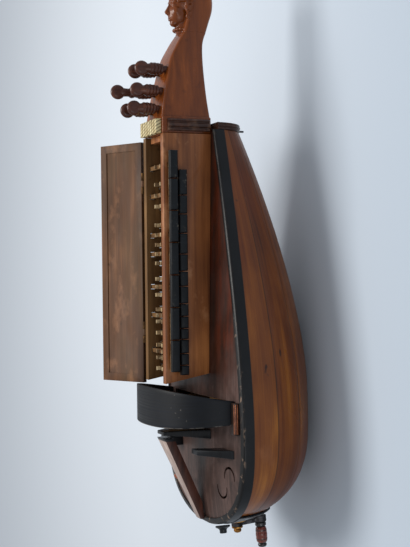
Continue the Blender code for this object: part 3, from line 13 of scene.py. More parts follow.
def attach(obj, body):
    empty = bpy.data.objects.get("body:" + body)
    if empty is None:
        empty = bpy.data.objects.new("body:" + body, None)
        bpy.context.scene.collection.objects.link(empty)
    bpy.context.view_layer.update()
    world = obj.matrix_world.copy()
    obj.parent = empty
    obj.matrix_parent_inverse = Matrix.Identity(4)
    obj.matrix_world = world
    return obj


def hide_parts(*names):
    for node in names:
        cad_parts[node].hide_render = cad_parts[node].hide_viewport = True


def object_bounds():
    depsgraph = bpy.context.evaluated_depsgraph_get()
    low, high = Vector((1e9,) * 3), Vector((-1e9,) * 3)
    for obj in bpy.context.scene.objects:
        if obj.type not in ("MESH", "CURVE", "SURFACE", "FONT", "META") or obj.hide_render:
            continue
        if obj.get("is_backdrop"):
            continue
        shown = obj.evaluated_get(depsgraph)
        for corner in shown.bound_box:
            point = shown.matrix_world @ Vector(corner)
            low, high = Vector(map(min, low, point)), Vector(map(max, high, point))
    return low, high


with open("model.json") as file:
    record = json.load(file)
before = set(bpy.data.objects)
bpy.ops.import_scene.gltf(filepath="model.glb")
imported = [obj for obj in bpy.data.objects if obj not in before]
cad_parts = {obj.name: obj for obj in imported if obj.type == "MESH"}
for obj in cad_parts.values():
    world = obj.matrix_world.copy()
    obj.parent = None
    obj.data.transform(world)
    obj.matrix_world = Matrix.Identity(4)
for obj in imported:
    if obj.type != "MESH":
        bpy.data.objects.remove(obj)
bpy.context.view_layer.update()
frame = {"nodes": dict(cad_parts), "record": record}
MM = 0.001


def box_lists():
    low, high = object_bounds()
    return [[float(c) for c in low], [float(c) for c in high]]


BODY_OF = {node: body for body, nodes in frame["record"]["behaviour"]["bodies"].items() for node in nodes}

# %% [markdown]
# Lengths along the instrument are easiest to think of from the wheel, and heights from the bowl's rim, as a
# maker measures them. Pieces are drawn that way and moved to the model's own place at the end.

# %% Places on the instrument
WHEEL_X = -0.155809
RIM_Z = 0.11473
TO_MODEL = Vector((WHEEL_X, 0, RIM_Z))
AXLE_TILT = math.radians(5)
AXLE_Z = -24 * MM
SMOOTH_ANGLE = math.radians(35)
SKIN_MERGE = 0.01 * MM
FINE_MERGE = 0.005 * MM


def mm(*lengths):
    """Millimetres, as the metres that the model counts in."""
    return [length * MM for length in lengths]


def only(thing):
    """Select one object alone, as every operator expects."""
    if bpy.context.object and bpy.context.object.mode != "OBJECT":
        bpy.ops.object.mode_set(mode="OBJECT")
    bpy.ops.object.select_all(action="DESELECT")
    thing.select_set(True)
    bpy.context.view_layer.objects.active = thing


def add(name, primitive, **settings):
    """Start a piece from one of the primitives, with nothing else selected."""
    bpy.ops.object.select_all(action="DESELECT")
    primitive(**settings)
    thing = bpy.context.object
    thing.name = thing.data.name = name
    return thing


def link(name, data):
    """Put a camera, a lamp or a copied mesh in the scene as an object."""
    thing = bpy.data.objects.new(name, data)
    bpy.context.scene.collection.objects.link(thing)
    return thing


def edit_all(thing):
    only(thing)
    bpy.ops.object.mode_set(mode="EDIT")
    bpy.ops.mesh.select_all(action="SELECT")


def leave_edit():
    bpy.ops.object.mode_set(mode="OBJECT")


def face_outwards(thing):
    edit_all(thing)
    bpy.ops.mesh.normals_make_consistent(inside=False)
    leave_edit()


def settle(thing):
    """Leave the object at the origin with its place in its mesh."""
    only(thing)
    bpy.ops.object.transform_apply(location=True, rotation=True, scale=True)


def apply_modifier(thing, kind, **settings):
    only(thing)
    modifier = thing.modifiers.new(kind.lower(), kind)
    for name, value in settings.items():
        setattr(modifier, name, value)
    bpy.ops.object.modifier_apply(modifier=modifier.name)


def combine(thing, other, operation):
    """Cut another piece out of this one, or unite the two, and remove the other."""
    apply_modifier(thing, "BOOLEAN", object=other, operation=operation, solver="EXACT")
    bpy.data.objects.remove(other, do_unlink=True)


def smooth(thing, angle=SMOOTH_ANGLE):
    only(thing)
    bpy.ops.object.shade_smooth_by_angle(angle=angle)


def soften(thing, width, segments=2):
    """Round the hard edges a little, as hands and sandpaper do, and shade the rest smooth."""
    apply_modifier(thing, "BEVEL", width=width, segments=segments, limit_method="ANGLE",
                   angle_limit=math.radians(30), harden_normals=False)
    smooth(thing)


def mount(thing, finish, node=None):
    """Give a piece its finish, its body and the solid that it stands for; one without a solid is fixed."""
    thing.data.materials.clear()
    thing.data.materials.append(finish.material)
    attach(thing, BODY_OF[node] if node else "instrument")
    if node:
        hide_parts(node)
    return thing


# %% [markdown]
# Most shapes here are either skins through a row of sections, as a boatbuilder lofts a hull over frames, or
# turnings off a lathe. A skin starts as a flat grid with a vertex for each point; a turning is a profile that
# is extruded point by point and then spun. Both could be sculpted from a box or a cylinder, but then no
# section would lie exactly where it was measured.

# %% Skins and turnings
def skin(name, rows, closed=False, shift=TO_MODEL):
    """A grid whose rows of points are laid on the given sections, or a tube of them with filled ends."""
    across = len(rows[0])
    thing = add(name, bpy.ops.mesh.primitive_grid_add, x_subdivisions=across - 1,
                y_subdivisions=len(rows) - 1, size=1)
    for row, points in enumerate(rows):
        for column, point in enumerate(points):
            thing.data.vertices[row * across + column].co = Vector(point) + shift
    thing.location = (0, 0, 0)
    if closed:
        close_skin(thing)
    return thing


def close_skin(thing):
    """Join a skin's first and last lengthwise edges, whose points coincide, and fill its open ends."""
    edit_all(thing)
    bpy.ops.mesh.remove_doubles(threshold=SKIN_MERGE)
    bpy.ops.mesh.select_all(action="DESELECT")
    bpy.ops.mesh.select_mode(type="EDGE")
    bpy.ops.mesh.select_non_manifold(extend=False)
    bpy.ops.mesh.edge_face_add()
    bpy.ops.mesh.select_mode(type="VERT")
    bpy.ops.mesh.select_all(action="SELECT")
    bpy.ops.mesh.normals_make_consistent(inside=False)
    leave_edit()


def turn(name, profile, steps=32):
    """A lathe piece about the Z axis from its profile of (radius, height), drawn from end to end."""
    thing = add(name, bpy.ops.mesh.primitive_plane_add, size=0.1 * MM)
    bpy.ops.object.mode_set(mode="EDIT")
    bpy.ops.mesh.select_all(action="SELECT")
    bpy.ops.mesh.merge(type="CENTER")
    at = profile[0]
    bpy.ops.transform.translate(value=(at[0], 0, at[1]))
    for radius, height in profile[1:]:
        step = (radius - at[0], 0, height - at[1])
        bpy.ops.mesh.extrude_region_move(TRANSFORM_OT_translate={"value": step})
        at = (radius, height)
    bpy.ops.mesh.select_all(action="SELECT")
    bpy.ops.mesh.spin(steps=steps, angle=2 * math.pi, center=(0, 0, 0), axis=(0, 0, 1))
    bpy.ops.mesh.select_all(action="SELECT")
    bpy.ops.mesh.remove_doubles(threshold=FINE_MERGE)
    bpy.ops.mesh.normals_make_consistent(inside=False)
    leave_edit()
    smooth(thing)
    return thing


def lay(thing, place):
    """Move a piece by a matrix, from its own axes to the instrument's."""
    thing.data.transform(Matrix.Translation(TO_MODEL) @ place)
    return thing


ALONG_X = Matrix.Rotation(math.pi / 2, 4, "Y")
AXLE_FRAME = Matrix.Translation((0, 0, AXLE_Z)) @ Matrix.Rotation(-AXLE_TILT, 4, "Y")
ON_AXLE = AXLE_FRAME @ ALONG_X

# %% [markdown]
# Every finish is a small tree of texture nodes. Writing sums of sockets as Python keeps them readable: a
# socket wraps a link, and adding or multiplying two of them adds the Math node between them. A colour is
# written as a picture shows it, in three numbers up to 255.

# %% A paint box for node materials
SHEEN = 0.22
METAL_SHEEN = 0.5
COAT_ROUGHNESS = 0.25


class Socket:
    """A node's output that does sums by adding Math nodes."""

    def __init__(self, paint, link):
        self.paint = paint
        self.link = link

    def _sum(self, operation, *terms):
        return self.paint.node("ShaderNodeMath", {"operation": operation}, dict(enumerate(terms)))

    def __add__(self, other):
        return self._sum("ADD", self, other)

    def __sub__(self, other):
        return self._sum("SUBTRACT", self, other)

    def __rsub__(self, other):
        return self._sum("SUBTRACT", other, self)

    def __mul__(self, other):
        return self._sum("MULTIPLY", self, other)

    def __truediv__(self, other):
        return self._sum("DIVIDE", self, other)

    def __abs__(self):
        return self._sum("ABSOLUTE", self)

    def fract(self):
        return self._sum("FRACT", self)

    __radd__ = __add__
    __rmul__ = __mul__


def tone(color):
    """A colour as a picture shows it, 0 to 255, made linear for the shader."""
    return tuple(((c / 255 + 0.055) / 1.055) ** 2.4 if c > 10 else c / 255 / 12.92 for c in color)


class Paint:
    """One material: its shader, and the one way to add any other node."""

    def __init__(self, name, roughness=0.4, metallic=0.0, coat=0.0):
        self.material = bpy.data.materials.new(name)
        self.material.use_nodes = True
        self.tree = self.material.node_tree
        self.shader = self.tree.nodes["Principled BSDF"]
        self.set("Roughness", roughness)
        self.set("Metallic", metallic)
        self.set("Coat Weight", coat)
        self.set("Coat Roughness", COAT_ROUGHNESS)
        self.set("Specular IOR Level", METAL_SHEEN if metallic else SHEEN)

    def node(self, kind, settings=None, values=None, output=0):
        node = self.tree.nodes.new(kind)
        for setting, value in (settings or {}).items():
            if setting == "stops":
                self._set_stops(node.color_ramp, value)
            else:
                setattr(node, setting, value)
        for key, value in (values or {}).items():
            self.plug(node.inputs[key], value)
        return Socket(self, node.outputs[output])

    def _set_stops(self, ramp, stops):
        while len(ramp.elements) < len(stops):
            ramp.elements.new(1)
        for element, (position, color) in zip(ramp.elements, stops):
            element.position = position
            element.color = (*tone(color), 1)

    def plug(self, socket, value):
        if isinstance(value, Socket):
            self.tree.links.new(value.link, socket)
        elif isinstance(value, Color):
            socket.default_value = (*value, 1)
        elif isinstance(value, tuple) and socket.type == "RGBA":
            socket.default_value = (*tone(value), 1)
        else:
            socket.default_value = value

    def set(self, name, value):
        self.plug(self.shader.inputs[name], value)

    def place(self, stretch=(1, 1, 1), turn=(0, 0, 0), source="Object"):
        """Places on the piece, stretched so that a pattern of size one has the wanted grain."""
        spot = self.node("ShaderNodeTexCoord", output={"UV": 2, "Object": 3}[source])
        return self.node("ShaderNodeMapping", None, {"Vector": spot, "Rotation": turn, "Scale": stretch})

    def axis(self, index, source="Object"):
        """One coordinate of each place: 0 along, 1 across and 2 up, or 0 and 1 of the map."""
        return self.node("ShaderNodeSeparateXYZ", None, {0: self.place(source=source)}, output=index)

    def noise(self, stretch, detail=4.0, rough=0.55, twist=0.0, turn=(0, 0, 0), shift=0.0, source="Object"):
        """Cloudy noise whose features are as long as one over the stretch."""
        place = self.place(stretch if isinstance(stretch, tuple) else (stretch,) * 3, turn, source)
        moved = self.node("ShaderNodeVectorMath", {"operation": "ADD"}, {0: place, 1: (shift, shift, shift)})
        values = {"Vector": moved, "Scale": 1.0, "Detail": detail, "Roughness": rough, "Distortion": twist}
        return self.node("ShaderNodeTexNoise", None, values)

    def between(self, value, low, high):
        """Nought below low, one above high, and a straight line between."""
        values = {"Value": value, "From Min": low, "From Max": high, "To Min": 0.0, "To Max": 1.0}
        return self.node("ShaderNodeMapRange", {"clamp": True}, values)

    def patches(self, low, high, *where, **how):
        """Where a noise rises from one level to another, which leaves patches of it."""
        return self.between(self.noise(*where, **how), low, high)

    def mix(self, factor, first, second):
        return self.node("ShaderNodeMix", {"data_type": "RGBA"}, {0: factor, 6: first, 7: second}, output=2)

    def measure(self, operation, other, output):
        """A distance from a point to each place, or each place less that point."""
        values = {0: self.node("ShaderNodeTexCoord", output=3), 1: other}
        return self.node("ShaderNodeVectorMath", {"operation": operation}, values, output=output)

    def finish(self, color, roughness, height=None, distance=0.0, strength=0.5):
        """Join the tree to the shader: its colour, its gloss and, where there is one, its relief."""
        self.color = color
        self.set("Base Color", color)
        self.set("Roughness", roughness)
        if height is not None:
            values = {"Height": height, "Distance": distance, "Strength": strength}
            self.set("Normal", self.node("ShaderNodeBump", None, values))
        return self

    def recolor(self, color):
        self.set("Base Color", color)
        return self


# %% [markdown]
# Wood is the main finish here. Real timber shows three scales at once: slow changes of tone over a hand's
# width, a figure of streaks along the grain, and fine pores. Each is a noise that is stretched along the
# grain, and varnish dulls a little where it is thick. Dirt and wear come on top of that. A single wave
# texture would also make stripes, but they would repeat, which timber never does.

# %% Wood
def wood(name, pale, middle, dark, grain="x", roughness=0.38, coat=0.25, pores=0.6, spots=0.0, seed=0.0,
         wear=None):
    """A varnished timber with its grain along one axis."""
    paint = Paint(name, roughness, coat=coat)

    def along(slow, fast):
        return tuple(slow if axis == grain else fast for axis in "xyz")

    cloud = paint.noise((9, 14, 14), 3, 0.5, 0.3, shift=seed)
    figure = paint.noise(along(6, 150), 5, 0.62, 0.6, shift=seed + 3)
    pore = paint.noise(along(30, 1400), 3, 0.7, 0.2, shift=seed + 7)
    darker = Color(tone(dark)) * 0.55
    color = paint.mix(paint.between(cloud * 0.9 + figure * 0.9, 0.62, 1.18), dark, middle)
    color = paint.mix(paint.between(figure * 0.6 + cloud * 0.7, 0.70, 0.98), color, pale)
    color = paint.mix(paint.between(pore, 0.62, 0.74) * pores, color, darker)
    if spots:
        color = paint.mix(paint.patches(0.70, 0.78, 60, 2, 0.5, shift=seed + 11) * spots, color, darker)
    if wear:
        color = paint.mix(paint.patches(0.56, 0.74, (30, 45, 45), 4, 0.6, shift=seed + 19), color, wear)
    uneven = 0.16 * (paint.noise(along(18, 70), 3, shift=seed + 23) - 0.5) * 2
    return paint.finish(color, roughness + uneven, figure * 0.5 + pore * 0.5, 0.12 * MM, 0.6)


print("paint box ready")

# %% [markdown]
# The camera looks at the instrument as the portrait does: from a little above the soundboard's plane on the
# keys' side, turned so that the head is up. The floor is then the background, so its colour is the studio's
# pale blue. The instrument could be stood on its tail before an upright camera, but lying down it keeps the
# model's own place, and one large soft lamp still throws the portrait's single shadow.

# %% Camera, floor and soft light
LOOK_AT = Vector((-6.2 * MM, 0, 114.7 * MM))
DISTANCE = 1.3
ELEVATION = math.radians(22.5)
ROLL = math.radians(-0.7)
VIEW_ANGLE = math.radians(27)
FLOOR_Z = -1 * MM
HEAD_UP = Vector((1, 0, 0))


def aim(thing, position, up):
    """Turn a camera or lamp towards the instrument, with a given direction upwards in its picture."""
    back = (position - LOOK_AT).normalized()
    side = up.cross(back).normalized()
    turn_matrix = Matrix((side, back.cross(side), back)).transposed().to_4x4()
    thing.matrix_world = Matrix.Translation(position) @ turn_matrix


def add_camera():
    data = bpy.data.cameras.new("portrait_camera")
    data.sensor_fit = "VERTICAL"
    data.angle_y = VIEW_ANGLE
    camera = link("portrait_camera", data)
    offset = Vector((0, -math.cos(ELEVATION), math.sin(ELEVATION))) * DISTANCE
    aim(camera, LOOK_AT + offset, Matrix.Rotation(ROLL, 3, offset) @ HEAD_UP)
    bpy.context.scene.camera = camera


def add_lamp(name, position, size, power, color):
    data = bpy.data.lights.new(name, "AREA")
    data.shape = "RECTANGLE"
    data.size, data.size_y = size
    data.energy = power
    data.color = color
    aim(link(name, data), Vector(position), HEAD_UP)


def add_floor():
    floor = add("studio_floor", bpy.ops.mesh.primitive_plane_add, size=8, location=(0, 0, FLOOR_Z))
    settle(floor)
    paint = Paint("studio_floor", 0.9)
    # Painted light on the floor: paler far behind the instrument, darker towards the camera, as a fall of
    # light across it.
    paint.recolor(paint.mix(paint.between(paint.axis(1), 0.55, -0.25), (215, 222, 230), (188, 199, 211)))
    floor.data.materials.append(paint.material)
    floor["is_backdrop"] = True


def add_world():
    world = bpy.data.worlds.new("studio")
    world.use_nodes = True
    background = world.node_tree.nodes["Background"]
    background.inputs["Color"].default_value = (0.93, 0.96, 1.0, 1)
    background.inputs["Strength"].default_value = 0.52
    bpy.context.scene.world = world


add_camera()
add_floor()
add_world()
add_lamp("key_lamp", (0.35, 0.35, 1.55), (0.8, 0.8), 20, (1.0, 0.98, 0.95))
add_lamp("side_lamp", (-0.5, -1.3, 0.35), (0.7, 0.5), 2.5, (0.95, 0.98, 1.0))
bpy.context.scene.view_settings.view_transform = "Standard"
print("camera at", [round(c, 3) for c in bpy.context.scene.camera.location])

# %% [markdown]
# Each family of pieces has its own finish, mixed from the same woods and metals. The colours are read
# from the portrait: golden brown ribs, a redder key box, a brown soundboard and near-black fittings. One
# function for each family, given a few colours and a seed, keeps related pieces alike but never identical.

# %% The finishes
def black_finish(name, worn=0.35, seed=0.0, roughness=0.34):
    """Blackened wood with a bluish sheen, fine lengthwise scratches and pale rubbed specks."""
    paint = Paint(name, roughness, coat=0.15)
    cloud = paint.noise((26, 40, 40), 4, 0.6, shift=seed)
    line = paint.noise((20, 500, 500), 3, 0.6, shift=seed + 2)
    color = paint.mix(paint.between(cloud, 0.35, 0.70), (7, 9, 12), (18, 22, 27))
    color = paint.mix(paint.between(line, 0.58, 0.80) * 0.5, color, (40, 46, 54))
    speck = paint.patches(0.71, 0.76, 230, 2, 0.5, shift=seed + 5)
    area = paint.patches(0.50, 0.62, 22, 2, 0.5, shift=seed + 8)
    color = paint.mix(speck * area * worn, color, (150, 140, 128))
    return paint.finish(color, roughness + (paint.between(cloud, 0.3, 0.8) - 0.4) * 0.3, line, 0.06 * MM)


def metal(name, color, shade, roughness=0.32, seed=0.0):
    """Old metal: its colour dulled in clouds and by small dark pits."""
    paint = Paint(name, roughness, metallic=1.0)
    cloud = paint.noise(120, 4, 0.6, shift=seed)
    pit = paint.noise(900, 2, 0.5, shift=seed + 4)
    color = paint.mix(paint.between(cloud, 0.35, 0.68), shade, color)
    color = paint.mix(paint.between(pit, 0.62, 0.76) * 0.6, color, shade)
    return paint.finish(color, roughness + (1 - paint.between(cloud, 0.3, 0.7)) * 0.25, pit, 0.05 * MM)


PEG_WOOD = wood("peg_wood", (142, 84, 56), (98, 52, 34), (46, 22, 16), "z", 0.34, 0.25, 0.5, seed=31)
BOX_WOOD = wood("keybox_wood", (192, 126, 72), (162, 100, 56), (98, 56, 32), "x", 0.40, 0.15, 0.7, 0.7, 11,
                wear=(172, 120, 82))
INNER_WOOD = wood("keybox_inner_wood", (176, 134, 84), (140, 104, 64), (86, 62, 38), "x", 0.5, 0.05, 0.7, 0.7,
                  seed=61)
BRACKET_WOOD = wood("bracket_wood", (72, 45, 31), (50, 31, 22), (28, 18, 13), "x", 0.42, 0.15, 0.6, 0.4, 15)
PLAIN_WOOD = wood("plain_wood", (196, 160, 112), (160, 122, 80), (104, 72, 44), "y", 0.6, 0.0, 0.7, seed=41)
BLACK = black_finish("black_wood")
BRASS = metal("brass", (214, 160, 84), (120, 78, 38), 0.28)
COPPER = metal("worn_copper", (206, 130, 92), (110, 62, 44), 0.30, 9)
IRON = metal("iron", (92, 90, 92), (40, 38, 38), 0.42, 4)
AGED_BRASS = metal("aged_brass", (96, 70, 42), (42, 30, 22), 0.5, 6)
print("finishes mixed")

# %% [markdown]
# Straight joinery keeps the solid that the model already has. A copy of it is cleaned of its loose triangles
# and its edges are rounded, so that they catch the light as worn wood does. Building these again from boxes
# would look no better and could slip out of place.

# %% Worked copies of straight pieces
def worked(node, finish, width, segments=2):
    copy = link(node + "_worked", frame["nodes"][node].data.copy())
    edit_all(copy)
    bpy.ops.mesh.customdata_custom_splitnormals_clear()
    bpy.ops.mesh.remove_doubles(threshold=FINE_MERGE)
    bpy.ops.mesh.dissolve_limited(angle_limit=math.radians(1))
    leave_edit()
    soften(copy, width * MM, segments)
    return mount(copy, finish, node)


for finish, width, segments, nodes in (
        (BOX_WOOD, 0.6, 2, ("keybox_near_wall", "keybox_head_end", "keybox_tail_end")),
        (INNER_WOOD, 0.6, 2, ("keybox_far_wall",)),
        (BRACKET_WOOD, 0.8, 2, ("cover_bracket_near", "cover_bracket_far")),
        (PLAIN_WOOD, 0.8, 2, ("tail_block", "wheel_crossbar", "soundboard_brace")),
        (AGED_BRASS, 0.15, 2, ("lid_hinge_head", "lid_hinge_tail")),
        (IRON, 0.3, 2, ("axle", "crank_arm", "neck_strap_pin")),
        (BRASS, 0.3, 2, ("tail_bush",)),
        (BLACK, 0.9, 3, ("main_bridge", "drone_bridge", "trompette_bridge"))):
    for node in nodes:
        worked(node, finish, width, segments)
print("joinery worked")

# %% [markdown]
# The body's plan and its depth follow two smooth curves each: a gentle taper towards the neck, and a rounded
# tail that is nearly square across. Every skin on the body is laid over these, at closer stations than the
# model's. Points read off a drawing would do for one skin, but curves give any station that a skin needs.

# %% The body's curves
HALF_WIDTH = 112 * MM
BODY_DEPTH = 116.5 * MM
BODY_HEAD_X = 309 * MM
BODY_TAIL_X = -131 * MM
WIDEST_X = -20 * MM
DEEP_X = 30 * MM
TAIL_POWER = 3.2
STAVES = 9
LAST_SHARE = 0.12
BOARD_SEAT = 0.821 * MM
BOARD = 3 * MM
CROWN = 7 * MM


def tail_reach(x, inset=0.0):
    return min(max((WIDEST_X - x) / (WIDEST_X - BODY_TAIL_X - inset), 0), 1)


def half_width(x, inset=0.0):
    if x < WIDEST_X:
        return (HALF_WIDTH - inset) * math.sqrt(max(1 - tail_reach(x, inset) ** TAIL_POWER, 0))
    along = (x - WIDEST_X) / (BODY_HEAD_X - WIDEST_X)
    return HALF_WIDTH * (1 - 0.63 * along ** 1.45) - inset


def depth(x, inset=0.0):
    if x < WIDEST_X:
        return (BODY_DEPTH - inset) * (1 - tail_reach(x, inset) ** 2.3) ** (1 / 2.4)
    along = max((x - DEEP_X) / (BODY_HEAD_X - DEEP_X), 0)
    return BODY_DEPTH * (1 - 0.655 * along ** 1.56) - inset


def tail_stations(first_share, last_share, steps, inset=0.0):
    """Stations spaced evenly round the tail's curve, between two shares of the full width."""
    first, last = math.acos(first_share), math.acos(last_share)
    shares = [math.cos(first + (last - first) * step / steps) for step in range(steps + 1)]
    length = WIDEST_X - BODY_TAIL_X - inset
    return [WIDEST_X - length * (1 - share ** 2) ** (1 / TAIL_POWER) for share in shares]


def head_stations(steps):
    return [BODY_HEAD_X + (WIDEST_X - BODY_HEAD_X) * step / steps for step in range(steps)]


STATIONS = head_stations(34) + tail_stations(1, LAST_SHARE, 26)


def board_top(x, y):
    """The height of the crowned soundboard's upper face."""
    share = half_width(x) / HALF_WIDTH
    across = min(abs(y) / max(half_width(x), 0.3 * MM), 1)
    return BOARD_SEAT + BOARD + CROWN * share ** 2 * (1 - across ** 2)


def write_uv(thing, places):
    """Fill the piece's UV map from one pair of lengths for each vertex."""
    layer = thing.data.uv_layers[0]
    for corner in thing.data.loops:
        layer.uv[corner.index].vector = places[corner.vertex_index]


def face_values(thing, name, values):
    """Keep one number for each face, which a finish can read by its name."""
    layer = thing.data.attributes.new(name, "FLOAT", "FACE")
    for entry, value in zip(layer.data, values):
        entry.value = value


print("body", [round(v / MM, 1) for x in (0, BODY_HEAD_X) for v in (half_width(x), depth(x))])

# %% [markdown]
# The bowl is nine tapering staves, bent round the body's depth and glued edge to edge. Each bulges a little
# and meets the next in a fine groove. Its map has metres along the stave one way and the stave's number the
# other, so the finish can follow the staves: each has its own tone, and old dirt darkens the seams. Nine
# loose strips could be bent one by one, but a single skin has no gaps where they meet.

# %% The bowl's staves
STAVE_LANES = (0, 0.035, 0.2, 0.4, 0.6, 0.8, 0.965)
STAVE_TONES = (0.55, 0.20, 0.72, 0.40, 0.62, 0.35, 0.50, 0.30, 0.66)
STAVE_WIDTH = 39 * MM
STAVE_BULGE = 0.9 * MM
STAVE_WALL = 2.4 * MM
SEAM_DEPTH = 0.35 * MM


def stave_point(x, stave, lane, inset=0.0):
    """A point on the bowl: a lane's share of the way over one stave."""
    ends = []
    for edge in (stave, stave + 1):
        angle = math.pi * edge / STAVES
        ends.append(Vector((x, half_width(x, inset) * math.cos(angle), -depth(x, inset) * math.sin(angle))))
    point = ends[0].lerp(ends[1], lane)
    out = Vector((0, point.y, point.z)).normalized()
    width = (ends[1] - ends[0]).length / STAVE_WIDTH
    lift = STAVE_BULGE * min(width, 1) * 4 * lane * (1 - lane)
    inner_seam = lane == 0 and 0 < stave < STAVES
    return point + out * (lift - (SEAM_DEPTH * min(width * 1.5, 1) if inner_seam else 0))


def bowl_row(x, inset=0.0):
    row = [stave_point(x, stave, lane, inset) for stave in range(STAVES) for lane in STAVE_LANES]
    return row + [stave_point(x, STAVES - 1, 1, inset)]


def run_lengths(rows):
    """How far along its lane each row lies, measured down the middle of the back."""
    middle = len(rows[0]) // 2
    lengths = [0.0]
    for before, after in zip(rows, rows[1:]):
        lengths.append(lengths[-1] + (after[middle] - before[middle]).length)
    return lengths


def make_bowl():
    rows = [bowl_row(x) for x in STATIONS]
    bowl = skin("bowl_staves", rows)
    lanes = [stave + lane for stave in range(STAVES) for lane in STAVE_LANES] + [STAVES]
    write_uv(bowl, [(length, lane) for length in run_lengths(rows) for lane in lanes])
    across = len(rows[0]) - 1
    tones = [STAVE_TONES[int(lanes[face % across])] for face in range(len(bowl.data.polygons))]
    face_values(bowl, "stave_tone", tones)
    face_outwards(bowl)
    apply_modifier(bowl, "SOLIDIFY", thickness=STAVE_WALL, offset=-1)
    smooth(bowl, math.radians(50))
    return bowl


def bowl_finish():
    paint = Paint("bowl_wood", 0.30, coat=0.2)
    tone_share = paint.node("ShaderNodeAttribute", {"attribute_name": "stave_tone"}, output=2)
    # One stave is about 39 mm wide, so a lane's unit stretches by that much less than a metre along.
    figure = paint.noise((7, 3.0, 1), 4, 0.55, 0.8, shift=3, source="UV")
    streak = paint.noise((4, 26, 1), 4, 0.6, 0.4, shift=7, source="UV")
    pore = paint.noise((40, 60, 1), 3, 0.7, shift=9, source="UV")
    cloud = paint.noise((8, 11, 11), 3, 0.5, 0.4, shift=13)
    share = paint.between(figure * 0.55 + streak * 0.25 + tone_share * 0.30 + cloud * 0.5, 0.58, 1.02)
    stops = ((0.0, (66, 30, 9)), (0.35, (98, 48, 13)), (0.7, (122, 66, 18)), (1.0, (150, 90, 28)))
    color = paint.node("ShaderNodeValToRGB", {"stops": stops}, {"Fac": share})
    color = paint.mix(paint.patches(0.48, 0.68, (7, 9, 9), 2, 0.5, shift=29) * 0.55, color, (104, 42, 12))
    rubbed = paint.patches(0.60, 0.74, (12, 16, 16), 4, 0.62, shift=37)
    at_tail = paint.between(paint.axis(0), WHEEL_X + 20 * MM, WHEEL_X - 75 * MM)
    color = paint.mix(rubbed * (0.10 + 0.45 * at_tail), color, (160, 104, 64))
    color = paint.mix(paint.between(pore, 0.60, 0.74) * 0.45, color, (42, 22, 13))
    seam = paint.between(abs((paint.axis(1, "UV") + 0.5).fract() - 0.5), 0.030, 0.010)
    dirt = 0.35 + 0.6 * paint.noise((30, 5, 1), 3, shift=41, source="UV")
    color = paint.mix(seam * dirt, color, (24, 12, 8))
    color = paint.mix(paint.patches(0.71, 0.75, (48, 62, 62), 2, 0.45, shift=17) * 0.85, color, (30, 17, 14))
    scratch = paint.patches(0.70, 0.78, (14, 420, 300), 2, 0.5, 0.3, (0, 0.25, 0.5), 51)
    color = paint.mix(scratch * 0.3, color, (140, 98, 62))
    gloss = 0.27 + 0.22 * (1 - paint.between(cloud, 0.3, 0.7)) + rubbed * 0.15
    height = figure * 0.35 + streak * 0.35 + pore * 0.3 - seam * 0.8
    return paint.finish(color, gloss, height, 0.16 * MM, 0.55)


bowl = mount(make_bowl(), bowl_finish(), "bowl_shell")
print("bowl with", len(bowl.data.polygons), "faces")

# %% [markdown]
# The soundboard is a thin crowned sheet. Its slot for the wheel and its four C-shaped holes are cut with
# booleans, from cutters that are removed afterwards, because a grid that followed each hole's outline would
# spoil the even crown between them.

# %% The soundboard
HOLE_RADIUS = 11 * MM
HOLE_LINE = 1.35 * MM
HOLE_SWEEP = math.radians(201.6)
HOLE_FOOT, HOLE_TOP = -6, 18
HOLE_PLACES = ((-71, 78, 0), (-84, 60, math.pi))
SLOT = ((-12.5, -79.9, -6), (12.5, 79.9, 20))


def block(name, low, high):
    """A box between two corners, given in millimetres."""
    low, high = mm(*low), mm(*high)
    middle = [(a + b) / 2 for a, b in zip(low, high)]
    size = [b - a for a, b in zip(low, high)]
    thing = add(name, bpy.ops.mesh.primitive_cube_add, size=1, location=Vector(middle) + TO_MODEL, scale=size)
    settle(thing)
    return thing


def hole_cutter(x, y, opening):
    """A C-shaped cutter: a line that is fine at its ends, with its open side in a given direction."""
    corners = ((-1, HOLE_FOOT), (1, HOLE_FOOT), (1, HOLE_TOP), (-1, HOLE_TOP), (-1, HOLE_FOOT))
    sections = []
    for step in range(25):
        angle = opening + HOLE_SWEEP * (step / 24 - 0.5)
        taper = 1 - (step / 12 - 1) ** 4 / 2
        across = Vector((math.cos(angle), math.sin(angle), 0))
        sections.append([Vector((x, y, height * MM)) + across * (HOLE_RADIUS + side * HOLE_LINE * taper)
                         for side, height in corners])
    return skin("hole_cutter", sections, closed=True)


def make_soundboard():
    lanes = [lane / 20 - 1 for lane in range(41)]
    rows = [[Vector((x, lane * half_width(x), board_top(x, lane * half_width(x)))) for lane in lanes]
            for x in STATIONS]
    board = skin("soundboard_sheet", rows)
    face_outwards(board)
    if board.data.polygons[0].normal.z < 0:
        board.data.flip_normals()
    apply_modifier(board, "SOLIDIFY", thickness=BOARD, offset=-1)
    combine(board, block("slot_cutter", *SLOT), "DIFFERENCE")
    for side in (-1, 1):
        for x, y, opening in HOLE_PLACES:
            combine(board, hole_cutter(x * MM, side * y * MM, opening), "DIFFERENCE")
    smooth(board)
    return board


